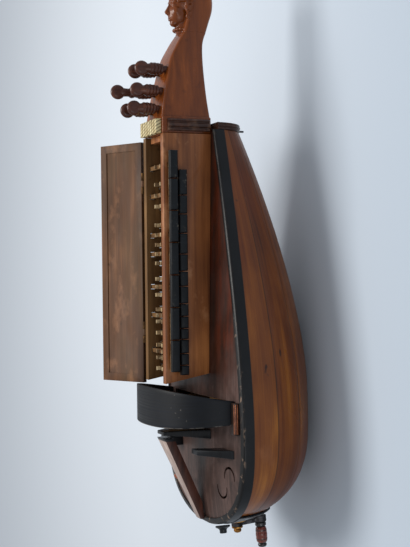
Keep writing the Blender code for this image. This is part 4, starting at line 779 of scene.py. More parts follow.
def board_finish():
    """Dark and dusty by the wheel, and a warm red brown beside the key box."""
    paint = Paint("board_wood", 0.46, coat=0.12)
    cloud = paint.noise((16, 20, 20), 4, 0.6, 0.5, shift=61)
    figure = paint.noise((8, 260, 60), 4, 0.6, 0.3, shift=63)
    pore = paint.noise((36, 1300, 200), 3, 0.7, shift=67)
    share = paint.between(cloud * 0.75 + figure * 0.35, 0.36, 0.72)
    stops = ((0.0, (34, 23, 19)), (0.4, (56, 39, 33)), (0.75, (80, 60, 54)), (1.0, (104, 84, 79)))
    color = paint.node("ShaderNodeValToRGB", {"stops": stops}, {"Fac": share})
    color = paint.mix(paint.between(pore, 0.60, 0.74) * 0.5, color, (26, 18, 16))
    by_box = paint.between(paint.axis(0), WHEEL_X + 10 * MM, WHEEL_X + 90 * MM)
    ruddy = paint.patches(0.34, 0.62, (12, 60, 30), 4, 0.6, shift=69)
    color = paint.mix(by_box * (0.72 + 0.25 * ruddy), color, paint.mix(ruddy, (30, 13, 6), (82, 30, 8)))
    color = paint.mix(paint.patches(0.58, 0.70, (34, 46, 46), 3, 0.55, shift=71) * 0.6, color, (28, 20, 19))
    dust = paint.patches(0.56, 0.76, (60, 90, 90), 4, 0.7, shift=73)
    color = paint.mix(dust * (0.25 - 0.2 * by_box), color, (122, 102, 96))
    relief = figure * 0.5 + pore * 0.5
    return paint.finish(color, 0.40 + 0.25 * paint.between(cloud, 0.35, 0.7), relief, 0.1 * MM)


soundboard = mount(make_soundboard(), board_finish(), "soundboard")
print("soundboard with", len(soundboard.data.polygons), "faces")

# %% [markdown]
# A black binding hides the joint of board and bowl. It is one bead round the whole outline, with a soft
# shoulder that rises over the board's rim and a foot that laps over the bowl. A bevelled curve could follow
# the outline too, but its section could neither lean with the crown nor narrow towards the head.

# %% The edging
EDGING_WIDTH = 5.5
EDGING_OUT = 1.9
EDGING_FOOT = -7.2
SHOULDER = 3.2


def edging_section(x, y, outward, share):
    """The bead's outline at one place, as distances outwards from the rim and heights, in millimetres."""
    inner = Vector((x, y, 0)) - outward * EDGING_WIDTH * MM * (0.38 + 0.62 * share)
    rim_top = board_top(x, y) / MM
    top = rim_top + EDGING_OUT
    inner_top = board_top(inner.x, inner.y) / MM + 0.3
    bead = [(EDGING_OUT, EDGING_FOOT), (EDGING_OUT, top - SHOULDER)]
    for step in range(1, 6):
        angle = math.pi / 2 * step / 6
        bead.append((EDGING_OUT - 2.8 * (1 - math.cos(angle)), top - SHOULDER + 2.9 * math.sin(angle)))
    bead.append((EDGING_OUT - SHOULDER, top))
    lip = [(0.8, inner_top + 1.5), (0, inner_top + 0.9), (0, inner_top)]
    under = [(0.3, rim_top + 0.3), (0.3, EDGING_FOOT - 0.3), (EDGING_OUT - 0.5, EDGING_FOOT - 0.3)]
    section = []
    for start, outline in ((Vector((x, y, 0)), bead), (inner, lip), (Vector((x, y, 0)), under)):
        section += [start + outward * out * MM + Vector((0, 0, height * MM)) for out, height in outline]
    return section + section[:1]


def make_edging():
    far_side = [(x, half_width(x)) for x in STATIONS]
    outline = far_side + [(x, -y) for x, y in reversed(far_side)]
    sections = []
    for index, (x, y) in enumerate(outline):
        before = Vector(outline[max(index - 1, 0)])
        after = Vector(outline[min(index + 1, len(outline) - 1)])
        along = (after - before).normalized()
        outward = Vector((along.y, -along.x, 0))
        if index in (0, len(outline) - 1):
            outward = Vector((0, math.copysign(1, y), 0))
        share = half_width(max(x, DEEP_X)) / HALF_WIDTH
        sections.append(edging_section(x, y, outward, share))
    edging = skin("edging_bead", sections, closed=True)
    smooth(edging, math.radians(45))
    return edging


def edging_finish():
    """Black, with the wood showing pale where the shoulder is rubbed, most of all towards the tail."""
    paint = Paint("edging_black", 0.40, coat=0.1)
    cloud = paint.noise((26, 40, 40), 4, 0.6, shift=81)
    color = paint.mix(paint.between(cloud, 0.35, 0.70), (8, 8, 9), (20, 20, 22))
    rub = paint.patches(0.58, 0.68, (130, 190, 190), 3, 0.6, shift=83)
    shoulder = paint.between(paint.axis(2), RIM_Z + 2.0 * MM, RIM_Z + 5.4 * MM)
    by_tail = paint.between(paint.axis(0), WHEEL_X + 130 * MM, WHEEL_X + 60 * MM)
    color = paint.mix(rub * shoulder * (0.08 + 0.5 * by_tail), color, (150, 124, 104))
    relief = paint.noise((60, 300, 300), 3, 0.6, shift=87)
    return paint.finish(color, 0.36 + 0.2 * paint.between(cloud, 0.3, 0.8), relief, 0.07 * MM)


edging = mount(make_edging(), edging_finish(), "soundboard_edging")
print("edging with", len(edging.data.polygons), "faces")

# %% [markdown]
# At the tail a dark clasp covers the stave ends. It is the same skin as the bowl's, a little larger, with a
# square edge, and could not fit so closely if it were shaped by itself. The cover over the wheel is a bent
# strip that widens towards its crown, which a slice of a cylinder would not.

# %% Clasp and wheel cover
CLASP_OUTSET = -0.7 * MM
CLASP_WALL = 2.0 * MM
CLASP_TIP = 0.12
CLASP_ROOM = ((-150, -120, -7.8), (0, 120, 20))
BUSH_ROOM = 9.3 * MM
BUSH_SPAN = mm(-160, -100)
ARCH_HALF = 90.4 * MM
ARCH_RISE = 71.5 * MM
ARCH_POWER = 0.86
COVER_WALL = 3 * MM


def rod(name, length, **settings):
    """A plain cylinder about the Z axis."""
    return add(name, bpy.ops.mesh.primitive_cylinder_add, depth=length, **settings)


def bush_cutter(start, end):
    """A cylinder along the tilted axle, between two distances from the wheel."""
    thing = rod("bush_room", end - start, vertices=48, radius=BUSH_ROOM)
    thing.data.transform(Matrix.Translation((0, 0, (start + end) / 2)))
    return lay(thing, ON_AXLE)


def make_clasp():
    rows = [bowl_row(x, CLASP_OUTSET) for x in tail_stations(0.62, LAST_SHARE, 16, CLASP_OUTSET)]
    edge = rows[-1]
    rows.append([Vector((point.x - 0.5 * MM, point.y * CLASP_TIP, point.z * CLASP_TIP)) for point in edge])
    clasp = skin("clasp_sheet", rows)
    face_outwards(clasp)
    middle = clasp.data.polygons[len(clasp.data.polygons) // 2]
    outward = middle.normal.dot(middle.center - TO_MODEL) > 0
    apply_modifier(clasp, "SOLIDIFY", thickness=CLASP_WALL, offset=1 if outward else -1)
    combine(clasp, block("clasp_room", *CLASP_ROOM), "DIFFERENCE")
    combine(clasp, bush_cutter(*BUSH_SPAN), "DIFFERENCE")
    soften(clasp, 0.5 * MM, 2)
    return clasp


def arch_point(angle, lane):
    """A point on the inner side of the arch, at an angle from its near foot and a lane over its width."""
    across = math.cos(angle)
    y = -ARCH_HALF * math.copysign(abs(across) ** ARCH_POWER, across)
    z = ARCH_RISE * math.sin(angle) ** ARCH_POWER
    width = (24 + 19 * math.sin(angle)) * MM
    middle = (0.5 + 3.0 * math.sin(angle)) * MM
    return Vector((middle + width * (lane - 0.5), y, z))


def make_cover():
    start = math.radians(3.3)
    angles = [start + (math.pi - 2 * start) * step / 64 for step in range(65)]
    rows = [[arch_point(angle, lane / 10) for lane in range(11)] for angle in angles]
    cover = skin("wheel_arch", rows)
    write_uv(cover, [(length, (point - row[0]).length) for row, length in zip(rows, run_lengths(rows))
                     for point in row])
    face_outwards(cover)
    top = cover.data.polygons[len(cover.data.polygons) // 2]
    apply_modifier(cover, "SOLIDIFY", thickness=COVER_WALL, offset=1 if top.normal.z > 0 else -1)
    soften(cover, 0.7 * MM, 3)
    return cover


def cover_finish():
    """Bluish black, with scratches along the strip and a pale, rubbed edge."""
    paint = Paint("cover_black", 0.45)
    cloud = paint.noise((24, 30, 30), 4, 0.6, shift=91)
    line = paint.noise((6, 620, 1), 4, 0.7, 0.3, source="UV", shift=93)
    color = paint.mix(paint.between(cloud, 0.35, 0.70), (4, 6, 10), (8, 12, 19))
    color = paint.mix(paint.between(line, 0.50, 0.78) * 0.4, color, (24, 34, 48))
    rub = paint.patches(0.42, 0.62, 90, 3, 0.6, shift=95)
    edge = paint.between(paint.axis(1, "UV"), 1.1 * MM, 0.3 * MM) * rub
    color = paint.mix(edge * 0.7, color, (140, 132, 124))
    color = paint.mix(paint.patches(0.73, 0.77, 260, 2, 0.5, shift=97) * 0.4, color, (120, 114, 106))
    return paint.finish(color, 0.42 + 0.2 * paint.between(line, 0.4, 0.7), line, 0.08 * MM, 0.6)


clasp = mount(make_clasp(), black_finish("clasp_black", 0.45, 21, 0.42), "end_clasp")
cover = mount(make_cover(), cover_finish(), "wheel_cover")
print("cover and clasp", len(cover.data.polygons), len(clasp.data.polygons))

# %% [markdown]
# The brackets that hold the cover's feet are strips of dark wood with three lines of copper wire let in, one
# on top and two in the outer side. The wires are real rods, because they stand a little proud and glint. The
# nut is a block of pale bone with dark slanting stripes painted across it, and its relief presses each stripe
# in a little.

# %% Brackets and nut
WIRE_RADIUS = 0.42 * MM
WIRE_ENDS = (-20.8, 10.8)
WIRE_ROWS = ((1.2, 5.05), (-0.1, 3.6), (-0.1, 1.7))
BRACKET_FOOT = board_top(-22 * MM, 93.7 * MM)


def wire(name, start, end):
    """A thin rod from one point to another, with rounded ends."""
    run = Vector(end) - Vector(start)
    thing = rod(name, run.length, vertices=10, radius=WIRE_RADIUS)
    turn_to = run.to_track_quat("Z", "Y").to_matrix().to_4x4()
    lay(thing, Matrix.Translation((Vector(start) + Vector(end)) / 2) @ turn_to)
    soften(thing, WIRE_RADIUS / 3, 2)
    return thing


for label, side in (("near", -1), ("far", 1)):
    bracket = frame["nodes"]["cover_bracket_" + label]
    outer = max(abs(vertex.co.y) for vertex in bracket.data.vertices)
    for row, (inward, rise) in enumerate(WIRE_ROWS):
        ends = [(x * MM, side * (outer - inward * MM), BRACKET_FOOT + rise * MM) for x in WIRE_ENDS]
        mount(wire(f"bracket_wire_{label}_{row}", *ends), COPPER)


def bone_finish():
    paint = Paint("nut_bone", 0.42, coat=0.15)
    cloud = paint.noise(60, 4, 0.6, shift=101)
    color = paint.mix(paint.between(cloud, 0.35, 0.7), (188, 168, 118), (232, 220, 176))
    slant = paint.axis(0) + paint.axis(2) * 0.55 + paint.axis(1) * 0.3
    row = (slant / (3.7 * MM) + paint.noise(90, 2) * 0.3).fract()
    stripe = paint.between(abs(row - 0.5), 0.20, 0.10)
    color = paint.mix(stripe * 0.85, color, (66, 46, 28))
    color = paint.mix(paint.patches(0.58, 0.70, 140, 3, 0.6, shift=103) * 0.5, color, (120, 92, 54))
    return paint.finish(color, 0.38 + 0.2 * cloud, cloud - stripe * 0.5, 0.1 * MM, 0.6)


worked("nut", bone_finish(), 0.35)

# %% [markdown]
# The lid is open, so its inside shows: bare wood that has turned a dull brown, darker by the hinges. Each key
# is one piece of wood with a blackened head outside the box and a pale tangent standing on its shank inside,
# so one finish tells those parts by where they lie. Three materials would do it as well, but their borders
# would follow the faces and not the maker's brush.

# %% Lid and keys
SHANK_HALF = 3.2
KEY_ROWS = (("lower", 42.5, 121), ("upper", 53.0, 131))


def lid_finish():
    paint = wood("lid_wood", (132, 90, 58), (102, 66, 40), (66, 42, 25), "x", 0.58, 0.0, 0.55, 0.8, 111,
                 wear=(128, 88, 60))
    by_hinge = paint.between(paint.axis(1), 52 * MM, 38 * MM)
    smoke = paint.patches(0.30, 0.62, (14, 60, 60), 3, 0.6, shift=113)
    color = paint.mix(by_hinge * smoke * 0.8, paint.color, (50, 33, 24))
    olive = paint.patches(0.48, 0.62, (10, 26, 26), 3, 0.5, shift=117)
    return paint.recolor(paint.mix(olive * 0.2, color, (88, 70, 40)))


def key_finish(name, shank_top, seed):
    """Black head, brown shank and cream tangents: each part of a key lies in its own band of places."""
    paint = Paint(name, 0.40, coat=0.05)
    height = paint.axis(2)
    cloud = paint.noise((60, 90, 90), 4, 0.6, shift=seed)
    line = paint.noise((900, 60, 60), 3, 0.6, shift=seed + 2)
    black = paint.mix(paint.between(cloud, 0.35, 0.70), (5, 7, 9), (14, 18, 22))
    black = paint.mix(paint.between(line, 0.55, 0.8) * 0.3, black, (38, 45, 52))
    chip = paint.patches(0.63, 0.70, (150, 190, 190), 3, 0.6, shift=seed + 4)
    low_edge = paint.between(height, shank_top - 4.2 * MM, shank_top - 7.0 * MM)
    black = paint.mix(chip * (0.06 + 0.7 * low_edge), black, (150, 140, 124))
    figure = paint.noise((300, 30, 300), 4, 0.6, shift=seed + 6)
    brown = paint.mix(paint.between(figure, 0.35, 0.7), (78, 52, 28), (124, 90, 52))
    ivory = paint.mix(paint.between(cloud, 0.3, 0.7), (150, 116, 74), (226, 206, 164))
    stain = paint.patches(0.44, 0.60, (70, 160, 160), 3, 0.6, shift=seed + 8)
    ivory = paint.mix(stain * 0.85, ivory, (88, 62, 36))
    inside = paint.between(paint.axis(1), -38.4 * MM, -38.0 * MM)
    above = paint.between(height, shank_top, shank_top + 0.3 * MM)
    color = paint.mix(inside, black, paint.mix(above, brown, ivory))
    return paint.finish(color, 0.34 + 0.2 * cloud + 0.1 * inside, line * 0.5 + figure * 0.5, 0.06 * MM)


worked("keybox_lid", lid_finish(), 0.4)
KEY_FINISHES = {row: key_finish(row + "_keys", RIM_Z + (level + SHANK_HALF) * MM, seed)
                for row, level, seed in KEY_ROWS}
for node in BODY_OF:
    if "_key_" in node:
        worked(node, KEY_FINISHES[node.split("_")[0]], 0.45)
print("lid and keys worked")

# %% [markdown]
# The pegbox swells out of the neck and curves like a swan's breast. Its sections are rounded rectangles, laid
# through the model's seven stations by a smooth curve. A subdivided box would round its edges unevenly,
# where a carver keeps one even rounding from end to end.

# %% Pegbox, neck plate and shoulder
PEGBOX_X = 319.5 * MM
PEGBOX_LENGTH = 101.5 * MM
PEGBOX_TOP = 60.5 * MM
PEGBOX_HALF = 26.5 * MM
ROUNDING = 3.2 * MM
TOPS = ((0, 1), (0.25, 0.93), (0.50, 0.84), (0.70, 0.75), (0.85, 0.62), (0.93, 0.54), (1, 0.46))
BACKS = ((0, 0.02), (0.25, 0.07), (0.50, 0.10), (0.70, 0.11), (0.85, 0.10), (0.93, 0.07), (1, 0.02))
PLATE_RINGS = ((0.3, 0.6), (0.9, 1.3), (2.4, 1.6), (3.0, 1.0), (3.6, 1.0), (4.2, 1.9), (5.6, 1.9),
               (6.2, 1.0), (6.8, 1.0), (7.4, 1.5), (8.3, 0.9))
SHOULDER_BLOCK = ((304.8, -30, 3), (323.5, 30, 60.5))
MOULDING_X = 307.2
MOULDING = ((30.2, 0.0), (33.6, 0.0), (34.4, 0.8), (34.4, 2.2), (33.2, 3.0), (33.2, 3.8), (35.0, 5.0),
            (35.6, 6.6), (35.0, 8.2), (33.2, 9.4), (33.2, 10.2), (34.2, 11.0), (34.2, 12.4), (33.4, 13.2),
            (30.2, 13.2))


def smooth_through(pairs, at):
    """The height at one place of a smooth curve through (place, height) pairs."""
    last = len(pairs) - 2
    index = max(i for i in range(last + 1) if pairs[i][0] <= at or i == 0)
    (x1, y1), (x2, y2) = pairs[index], pairs[index + 1]
    x0, y0 = pairs[max(index - 1, 0)]
    x3, y3 = pairs[min(index + 2, last + 1)]
    slope1 = (y2 - y0) / (x2 - x0) * (x2 - x1)
    slope2 = (y3 - y1) / (x3 - x1) * (x2 - x1)
    t = (at - x1) / (x2 - x1)
    return (y1 * (2 * t ** 3 - 3 * t ** 2 + 1) + y2 * (3 * t ** 2 - 2 * t ** 3)
            + slope1 * (t ** 3 - 2 * t ** 2 + t) + slope2 * (t ** 3 - t ** 2))


def rounded_section(x, half, low, high, radius):
    """A rectangle across the instrument whose corners are quarter circles."""
    points = []
    for side, level, start in ((1, high, 0), (-1, high, 90), (-1, low, 180), (1, low, 270)):
        y = side * (half - radius)
        z = level - radius if level == high else level + radius
        for step in range(6):
            angle = math.radians(start + 18 * step)
            points.append(Vector((x, y + radius * math.cos(angle), z + radius * math.sin(angle))))
    return points + points[:1]


def make_pegbox():
    sections = []
    for step in range(37):
        share = step / 36
        low, high = [PEGBOX_TOP * smooth_through(pairs, share) for pairs in (BACKS, TOPS)]
        sections.append(rounded_section(PEGBOX_X + PEGBOX_LENGTH * share, PEGBOX_HALF * (1 - 0.40 * share),
                                        low, high, ROUNDING))
    box = skin("pegbox_swan", sections, closed=True)
    smooth(box, math.radians(40))
    return box


def make_neck_plate():
    """A rounded plate that closes the bowl, with a bead along its middle."""
    lanes = [(stave, lane) for stave in range(STAVES) for lane in (0, 0.25, 0.5, 0.75)]
    sections = []
    for along, out in PLATE_RINGS:
        x = BODY_HEAD_X + along * MM
        spots = [stave_point(BODY_HEAD_X, stave, lane, -out * MM) for stave, lane in lanes]
        row = [Vector((x, spot.y, min(spot.z, 0))) for spot in spots]
        row.append(Vector((x, stave_point(BODY_HEAD_X, STAVES - 1, 1, -out * MM).y, 0)))
        sections.append(row + row[:1])
    plate = skin("neck_plate", sections, closed=True)
    smooth(plate, math.radians(30))
    return plate


def make_shoulder():
    """The block under the nut."""
    shoulder = block("neck_shoulder", *SHOULDER_BLOCK)
    soften(shoulder, 1.2 * MM, 3)
    return shoulder


def make_moulding(label, side):
    """A strip of moulding at the neck's foot: a bead between two fillets, drawn in at its ends."""
    sections = []
    for z, pull in ((5.4, 0.8), (6.0, 0), (54.0, 0), (55.2, 0.8)):
        row = [Vector(((MOULDING_X + along) * MM, side * (out - (pull if out > 31 else 0)) * MM, z * MM))
               for out, along in MOULDING]
        sections.append(row + row[:1])
    strip = skin("neck_moulding_" + label, sections, closed=True)
    smooth(strip, math.radians(30))
    return strip


SWAN_WOOD = wood("swan_wood", (172, 94, 34), (138, 70, 22), (92, 42, 12), "x", 0.30, 0.25, 0.45, 0.5, 141)
NECK_WOOD = wood("neck_wood", (92, 56, 38), (66, 38, 26), (34, 20, 15), "y", 0.40, 0.2, 0.6, 0.6, 151,
                 wear=(110, 80, 62))
mount(make_pegbox(), SWAN_WOOD, "pegbox")
mount(make_neck_plate(), NECK_WOOD)
mount(make_shoulder(), SWAN_WOOD)
for label, side in (("near", -1), ("far", 1)):
    mount(make_moulding(label, side), NECK_WOOD)
print("pegbox laid")

# %% [markdown]
# The pegs come off the lathe with three rings under a flat, dished head. The head is a ball pressed thin, so
# each peg is a turning and a ball made into one: the head isn't round about the peg's axis, so the lathe
# alone can't make it. One far peg is longer than the rest, with an extra ring.

# %% The tuning pegs
PEG_FOOT = ((0.01, -24), (3.1, -24))
PEG_RINGS = ((4.0, 0.6), (4.0, 3.6), (4.8, 4.2), (5.8, 5.0), (6.0, 6.2), (5.7, 7.2), (5.2, 7.7), (6.1, 8.4),
             (6.6, 9.6), (6.4, 10.9), (5.8, 11.5), (6.5, 12.2), (6.9, 13.5), (6.7, 14.9), (6.0, 15.5),
             (6.6, 16.2), (6.8, 17.6), (6.4, 18.8), (5.6, 19.6), (5.4, 21.0))
EXTRA_RING = ((5.0, 24), (5.8, 25.2), (6.2, 27.4), (5.6, 29.2), (4.6, 30.4), (4.6, 34))
PEG_NECK = ((5.0, 23.5), (3.8, 26.0), (0.01, 26.2))
PEG_HEIGHT, TALL_PEG_HEIGHT = mm(37, 52)
PEG_HEAD = mm(8.2, 4.9, 8.4)
PEG_ASIDE = 11.5 * MM
PEG_SHARES = (0.135, 0.335, 0.575)
PEG_PLACES_Z = mm(58.213, 54.414, 48.778)


def ball(name, middle, radii, segments=32, rings=20):
    """A ball drawn out to three radii about its middle."""
    thing = add(name, bpy.ops.mesh.primitive_uv_sphere_add, segments=segments, ring_count=rings, radius=1)
    thing.data.transform(Matrix.Translation(Vector(middle)) @ Matrix.Diagonal((*radii, 1)))
    return thing


def make_peg(name, place, height):
    extra = height - PEG_HEIGHT
    profile = [(r * MM, z * MM) for r, z in PEG_FOOT + PEG_RINGS + (EXTRA_RING if extra else ())]
    peg = turn(name, profile + [(r * MM, z * MM + extra) for r, z in PEG_NECK], 28)
    head = ball(name + "_head", (0, 0, 0), PEG_HEAD, 36, 24)
    for vertex in head.data.vertices:
        reach = math.hypot(vertex.co.x, vertex.co.z) / (5.2 * MM)
        vertex.co.y *= 1 - 0.34 * math.exp(-reach ** 2)
    head.data.transform(Matrix.Translation((0, 0, height - PEG_HEAD[2])))
    combine(peg, head, "UNION")
    lay(peg, Matrix.Translation(Vector(place)))
    smooth(peg, math.radians(38))
    return peg


for row, side in (("near", -1), ("far", 1)):
    for station, share in enumerate(PEG_SHARES):
        node = f"peg_{row}_{station + 1}"
        tall = side > 0 and station == 1
        place = (PEGBOX_X + PEGBOX_LENGTH * share, side * PEG_ASIDE, PEG_PLACES_Z[station])
        mount(make_peg(node + "_turned", place, TALL_PEG_HEIGHT if tall else PEG_HEIGHT), PEG_WOOD, node)
print("pegs turned")

# %% [markdown]
# The carved head is built up as a carver blocks it out: skull, jaw and hair in big rounds first, then the
# brow, nose, lips and lids on the usual thirds of a face, and hair in combed locks. All of it is then melted
# into one skin with a voxel remesh and smoothed a little, which leaves soft chisel-worn forms. Booleans would
# join the rounds as well, but with a hard crease at every joint.

# %% The carved head
HEAD_PLACE = Vector(mm(451.5, 0, 24.5))
NO_SHIFT = Vector((0, 0, 0))
FACE_ROUNDS = (
    ((5.5, 0, -2.5), (17.6, 14.2, 17.6)),       # skull
    ((-7.5, 0, 4.0), (15.2, 11.6, 12.6)),       # jaw
    ((-19.0, 0, 9.6), (4.2, 5.2, 5.0)),         # chin
    ((-6.5, 6.6, 8.6), (6.2, 5.2, 5.6)),        # cheeks
    ((-6.5, -6.6, 8.6), (6.2, 5.2, 5.6)),
    ((-25.0, 0, -2.0), (11.0, 10.0, 10.0)),     # neck
)
SCROLL_PLACES = (0, 0.2, 0.45, 0.7, 0.88, 1)
SCROLL_BACKS = (1.4, -3.0, -8.0, -8.5, -4.0, 4.0)
SCROLL_FRONTS = (27.6, 25.0, 22.0, 21.0, 20.0, 15.0)
SCROLL_HALVES = (15.8, 15.6, 15.8, 15.4, 12.6, 6.3)
NOSE = ((4.2, 0, 13.6), (0.6, 0, 14.6), (-3.4, 0, 16.4), (-7.2, 0, 18.3), (-9.0, 0, 17.6))


def at_head(up, aside, ahead):
    """A place on the head, in millimetres up, aside and ahead of its middle."""
    return HEAD_PLACE + Vector((up, aside, ahead)) * MM


def lump(place, radii):
    return ball("lump", at_head(*place), mm(*radii), 24, 16)


def tube(name, path, radii, sides=10):
    """A closed round rod along a path of places, with its own radius at each."""
    sections = []
    for index, (point, radius) in enumerate(zip(path, radii)):
        along = (path[min(index + 1, len(path) - 1)] - path[max(index - 1, 0)]).normalized()
        side = along.cross(Vector((0.3, 0.2, 0.93))).normalized()
        other = along.cross(side)
        ring = [point + (side * math.cos(a) + other * math.sin(a)) * radius
                for a in [2 * math.pi * step / sides for step in range(sides)]]
        sections.append(ring + ring[:1])
    return skin(name, sections, closed=True, shift=NO_SHIFT)


def join_all(pieces):
    """Put many meshes in one object, before they are melted together."""
    bpy.ops.object.select_all(action="DESELECT")
    for piece in pieces:
        piece.select_set(True)
    bpy.context.view_layer.objects.active = pieces[0]
    bpy.ops.object.join()
    return pieces[0]


def make_scroll():
    """The back of the head, which goes on from the pegbox and curls over."""
    curves = [tuple(zip(SCROLL_PLACES, levels)) for levels in (SCROLL_BACKS, SCROLL_FRONTS, SCROLL_HALVES)]
    sections = []
    for step in range(25):
        share = step / 24
        back, front, half = [smooth_through(pairs, share) * MM for pairs in curves]
        radius = min(3.2 * MM + 7 * MM * share, half * 0.92, (front - back) * 0.46)
        sections.append(rounded_section((420.8 + 60 * share) * MM, half, back, front, radius))
    return skin("scroll", sections, closed=True, shift=NO_SHIFT)


def hair_lock(angle, start, end, thick):
    """One combed lock over the crown, from the hairline back, as a bent rod."""
    path = []
    radii = []
    for step in range(13):
        share = step / 12
        sweep = math.radians(start + (end - start) * share)
        turned = math.radians(angle + 7 * math.sin(math.pi * share))
        path.append(at_head(3.5 + 18.2 * math.cos(turned) * math.sin(sweep),
                            15.2 * math.sin(turned) * math.sin(sweep), -2.5 + 18.5 * math.cos(sweep)))
        radii.append(thick * MM * (0.45 + 0.55 * math.sin(math.pi * min(share + 0.12, 0.88))))
    return tube("lock", path, radii)


def curl(up, side, radius):
    """A rolled curl over the ear, as a short spiral."""
    path = []
    for step in range(19):
        turned = math.radians(430 * step / 18)
        reach = radius * (1 - 0.62 * step / 18)
        path.append(at_head(up + reach * math.cos(turned), side * (14.6 - 0.06 * step),
                            -4 + reach * math.sin(turned)))
    return tube("curl", path, [1.7 * MM] * 18 + [1.2 * MM])


def make_eye(side):
    """The ball, the brow, both lids and the side of the nose on one side of the face."""
    pieces = [lump((-8.6, side * 2.3, 15.9), (1.6, 1.5, 2.0)), lump((0.4, side * 5.6, 11.2), (2.9, 3.3, 2.9))]
    brow = [at_head(3.6 + 0.9 * math.sin(math.pi * s), side * (1.8 + 8.4 * s), 14.0 - 3.2 * s ** 2)
            for s in (0, 0.25, 0.5, 0.75, 1)]
    pieces.append(tube("brow", brow, mm(1.2, 1.4, 1.3, 1.1, 0.7)))
    for lift, thick in ((1.5, 0.75), (-1.3, 0.6)):
        lid = [at_head(0.4 + lift * math.sin(math.pi * s), side * (2.7 + 5.9 * s),
                       13.2 + 1.1 * math.sin(math.pi * s) - 1.6 * s) for s in (0, 0.2, 0.4, 0.6, 0.8, 1)]
        pieces.append(tube("lid", lid, [thick * MM] * 6, 8))
    return pieces


def make_features():
    pieces = [tube("nose", [at_head(*place) for place in NOSE], mm(1.9, 1.7, 2.1, 2.7, 2.0), 14)]
    for side in (-1, 1):
        pieces += make_eye(side)
        pieces.append(lump((-2.5, side * 13.2, -1.5), (5.2, 1.8, 3.4)))
        for up, radius in ((8.5, 4.2), (1.5, 4.4), (-6.0, 4.2), (-13.0, 3.8)):
            pieces.append(curl(up, side, radius))
    upper = [at_head(-13.1 + 0.5 * math.cos(3 * math.pi * s), 4.6 * s, 15.4 - 1.9 * s ** 2)
             for s in (-1, -0.66, -0.33, 0, 0.33, 0.66, 1)]
    pieces.append(tube("upper_lip", upper, mm(0.5, 0.9, 1.2, 1.1, 1.2, 0.9, 0.5)))
    lower = [at_head(-15.5, 3.9 * s, 15.1 - 1.8 * s ** 2) for s in (-1, -0.5, 0, 0.5, 1)]
    pieces.append(tube("lower_lip", lower, mm(0.6, 1.2, 1.4, 1.2, 0.6)))
    pieces += [hair_lock(angle, 50, 150, 2.9) for angle in range(-88, 89, 16)]
    for step in range(15):
        turned = math.radians(-126 + 18 * step)
        place = (-26.5, 10.6 * math.sin(turned), -1.5 + 10.4 * math.cos(turned))
        pieces.append(lump(place, (2.0, 2.2, 2.2)))
    return pieces


def make_head():
    face = join_all([lump(*part) for part in FACE_ROUNDS])
    apply_modifier(face, "REMESH", mode="VOXEL", voxel_size=0.7 * MM)
    apply_modifier(face, "SMOOTH", factor=0.6, iterations=6)
    for side in (-1, 1):
        combine(face, lump((0.6, side * 5.8, 15.6), (2.9, 4.0, 4.0)), "DIFFERENCE")
    head = join_all([face, make_scroll(), *make_features()])
    apply_modifier(head, "REMESH", mode="VOXEL", voxel_size=0.48 * MM)
    apply_modifier(head, "SMOOTH", factor=0.5, iterations=2)
    head.name = head.data.name = "head_carving"
    head.data.transform(Matrix.Translation(TO_MODEL))
    only(head)
    bpy.ops.object.shade_smooth()
    return head


head = mount(make_head(), SWAN_WOOD, "carved_head")
print("head with", len(head.data.polygons), "faces")

# %% [markdown]
# The small fittings are turned too: the brass nut on the crank, the glossy handle with its dark ends, the peg
# that tightens the buzzing string, and the button for a strap. Each is one profile, in millimetres along its
# own axis, so a ring or a cove is a matter of two or three points.

# %% Turned fittings and the tailpiece
CRANK_LENGTH = 29.5 * MM
ON_HANDLE = AXLE_FRAME @ Matrix.Translation((0, 0, -CRANK_LENGTH)) @ ALONG_X
GRIP_MIDDLE = -157.4 * MM
TENSION_PLACE = ((-83.38, 9.12, 27.11), (0, 1, 0))
BUTTON_PLACE = ((-126.819, -38.08, -1.5), (-0.974733, -0.223372, 0))
TAILPIECE_HEAD_X = WHEEL_X - 37.6 * MM
NUT_PROFILE = ((0.01, -149.9), (2.4, -149.8), (3.6, -149.2), (4.3, -148.2), (4.5, -146.9), (4.2, -145.9),
               (3.9, -145.4), (4.6, -145.0), (5.0, -144.6), (6.0, -144.4), (6.4, -144.0), (6.4, -142.8),
               (6.0, -142.3), (0.01, -142.3))
HANDLE_PROFILE = ((0.01, -172.4), (2.6, -172.3), (4.2, -171.7), (5.0, -170.6), (5.3, -169.4), (5.0, -168.4),
                  (4.4, -167.6), (4.8, -167.0), (5.7, -166.2), (6.4, -164.2), (6.7, -161.5), (6.4, -160.2),
                  (6.7, -159.6), (6.8, -157.4), (6.7, -155.2), (6.4, -154.6), (6.7, -153.3), (6.4, -150.8),
                  (5.8, -149.0), (5.0, -148.0), (5.6, -147.4), (6.4, -146.6), (6.5, -144.8), (6.1, -143.2),
                  (4.6, -142.5), (0.01, -142.5))
TENSION_PROFILE = ((0.01, -7), (2.8, -7), (2.8, 0.5), (4.2, 0.7), (4.8, 1.4), (4.8, 3.2), (4.2, 4.1),
                   (3.0, 4.6), (2.7, 5.6), (2.9, 9), (3.0, 14), (2.8, 19), (2.2, 21), (1.2, 22), (0.01, 22.2))
BUTTON_PROFILE = ((0.01, 3.3), (7.6, 3.3), (8.2, 3.8), (8.2, 5.0), (7.4, 5.8), (5.6, 6.6), (4.4, 7.6),
                  (4.0, 9.0), (4.0, 11.2), (3.5, 12.0), (2.0, 12.3), (0.01, 12.3))


def turned_at(name, profile, place, finish, node, steps=36, angle=SMOOTH_ANGLE):
    thing = lay(turn(name, [(r * MM, z * MM) for r, z in profile], steps), place)
    smooth(thing, angle)
    return mount(thing, finish, node)


def facing(place, direction):
    """A place in millimetres whose upward axis looks along a direction."""
    turn_to = Vector(direction).to_track_quat("Z", "Y").to_matrix().to_4x4()
    return Matrix.Translation(Vector(mm(*place))) @ turn_to


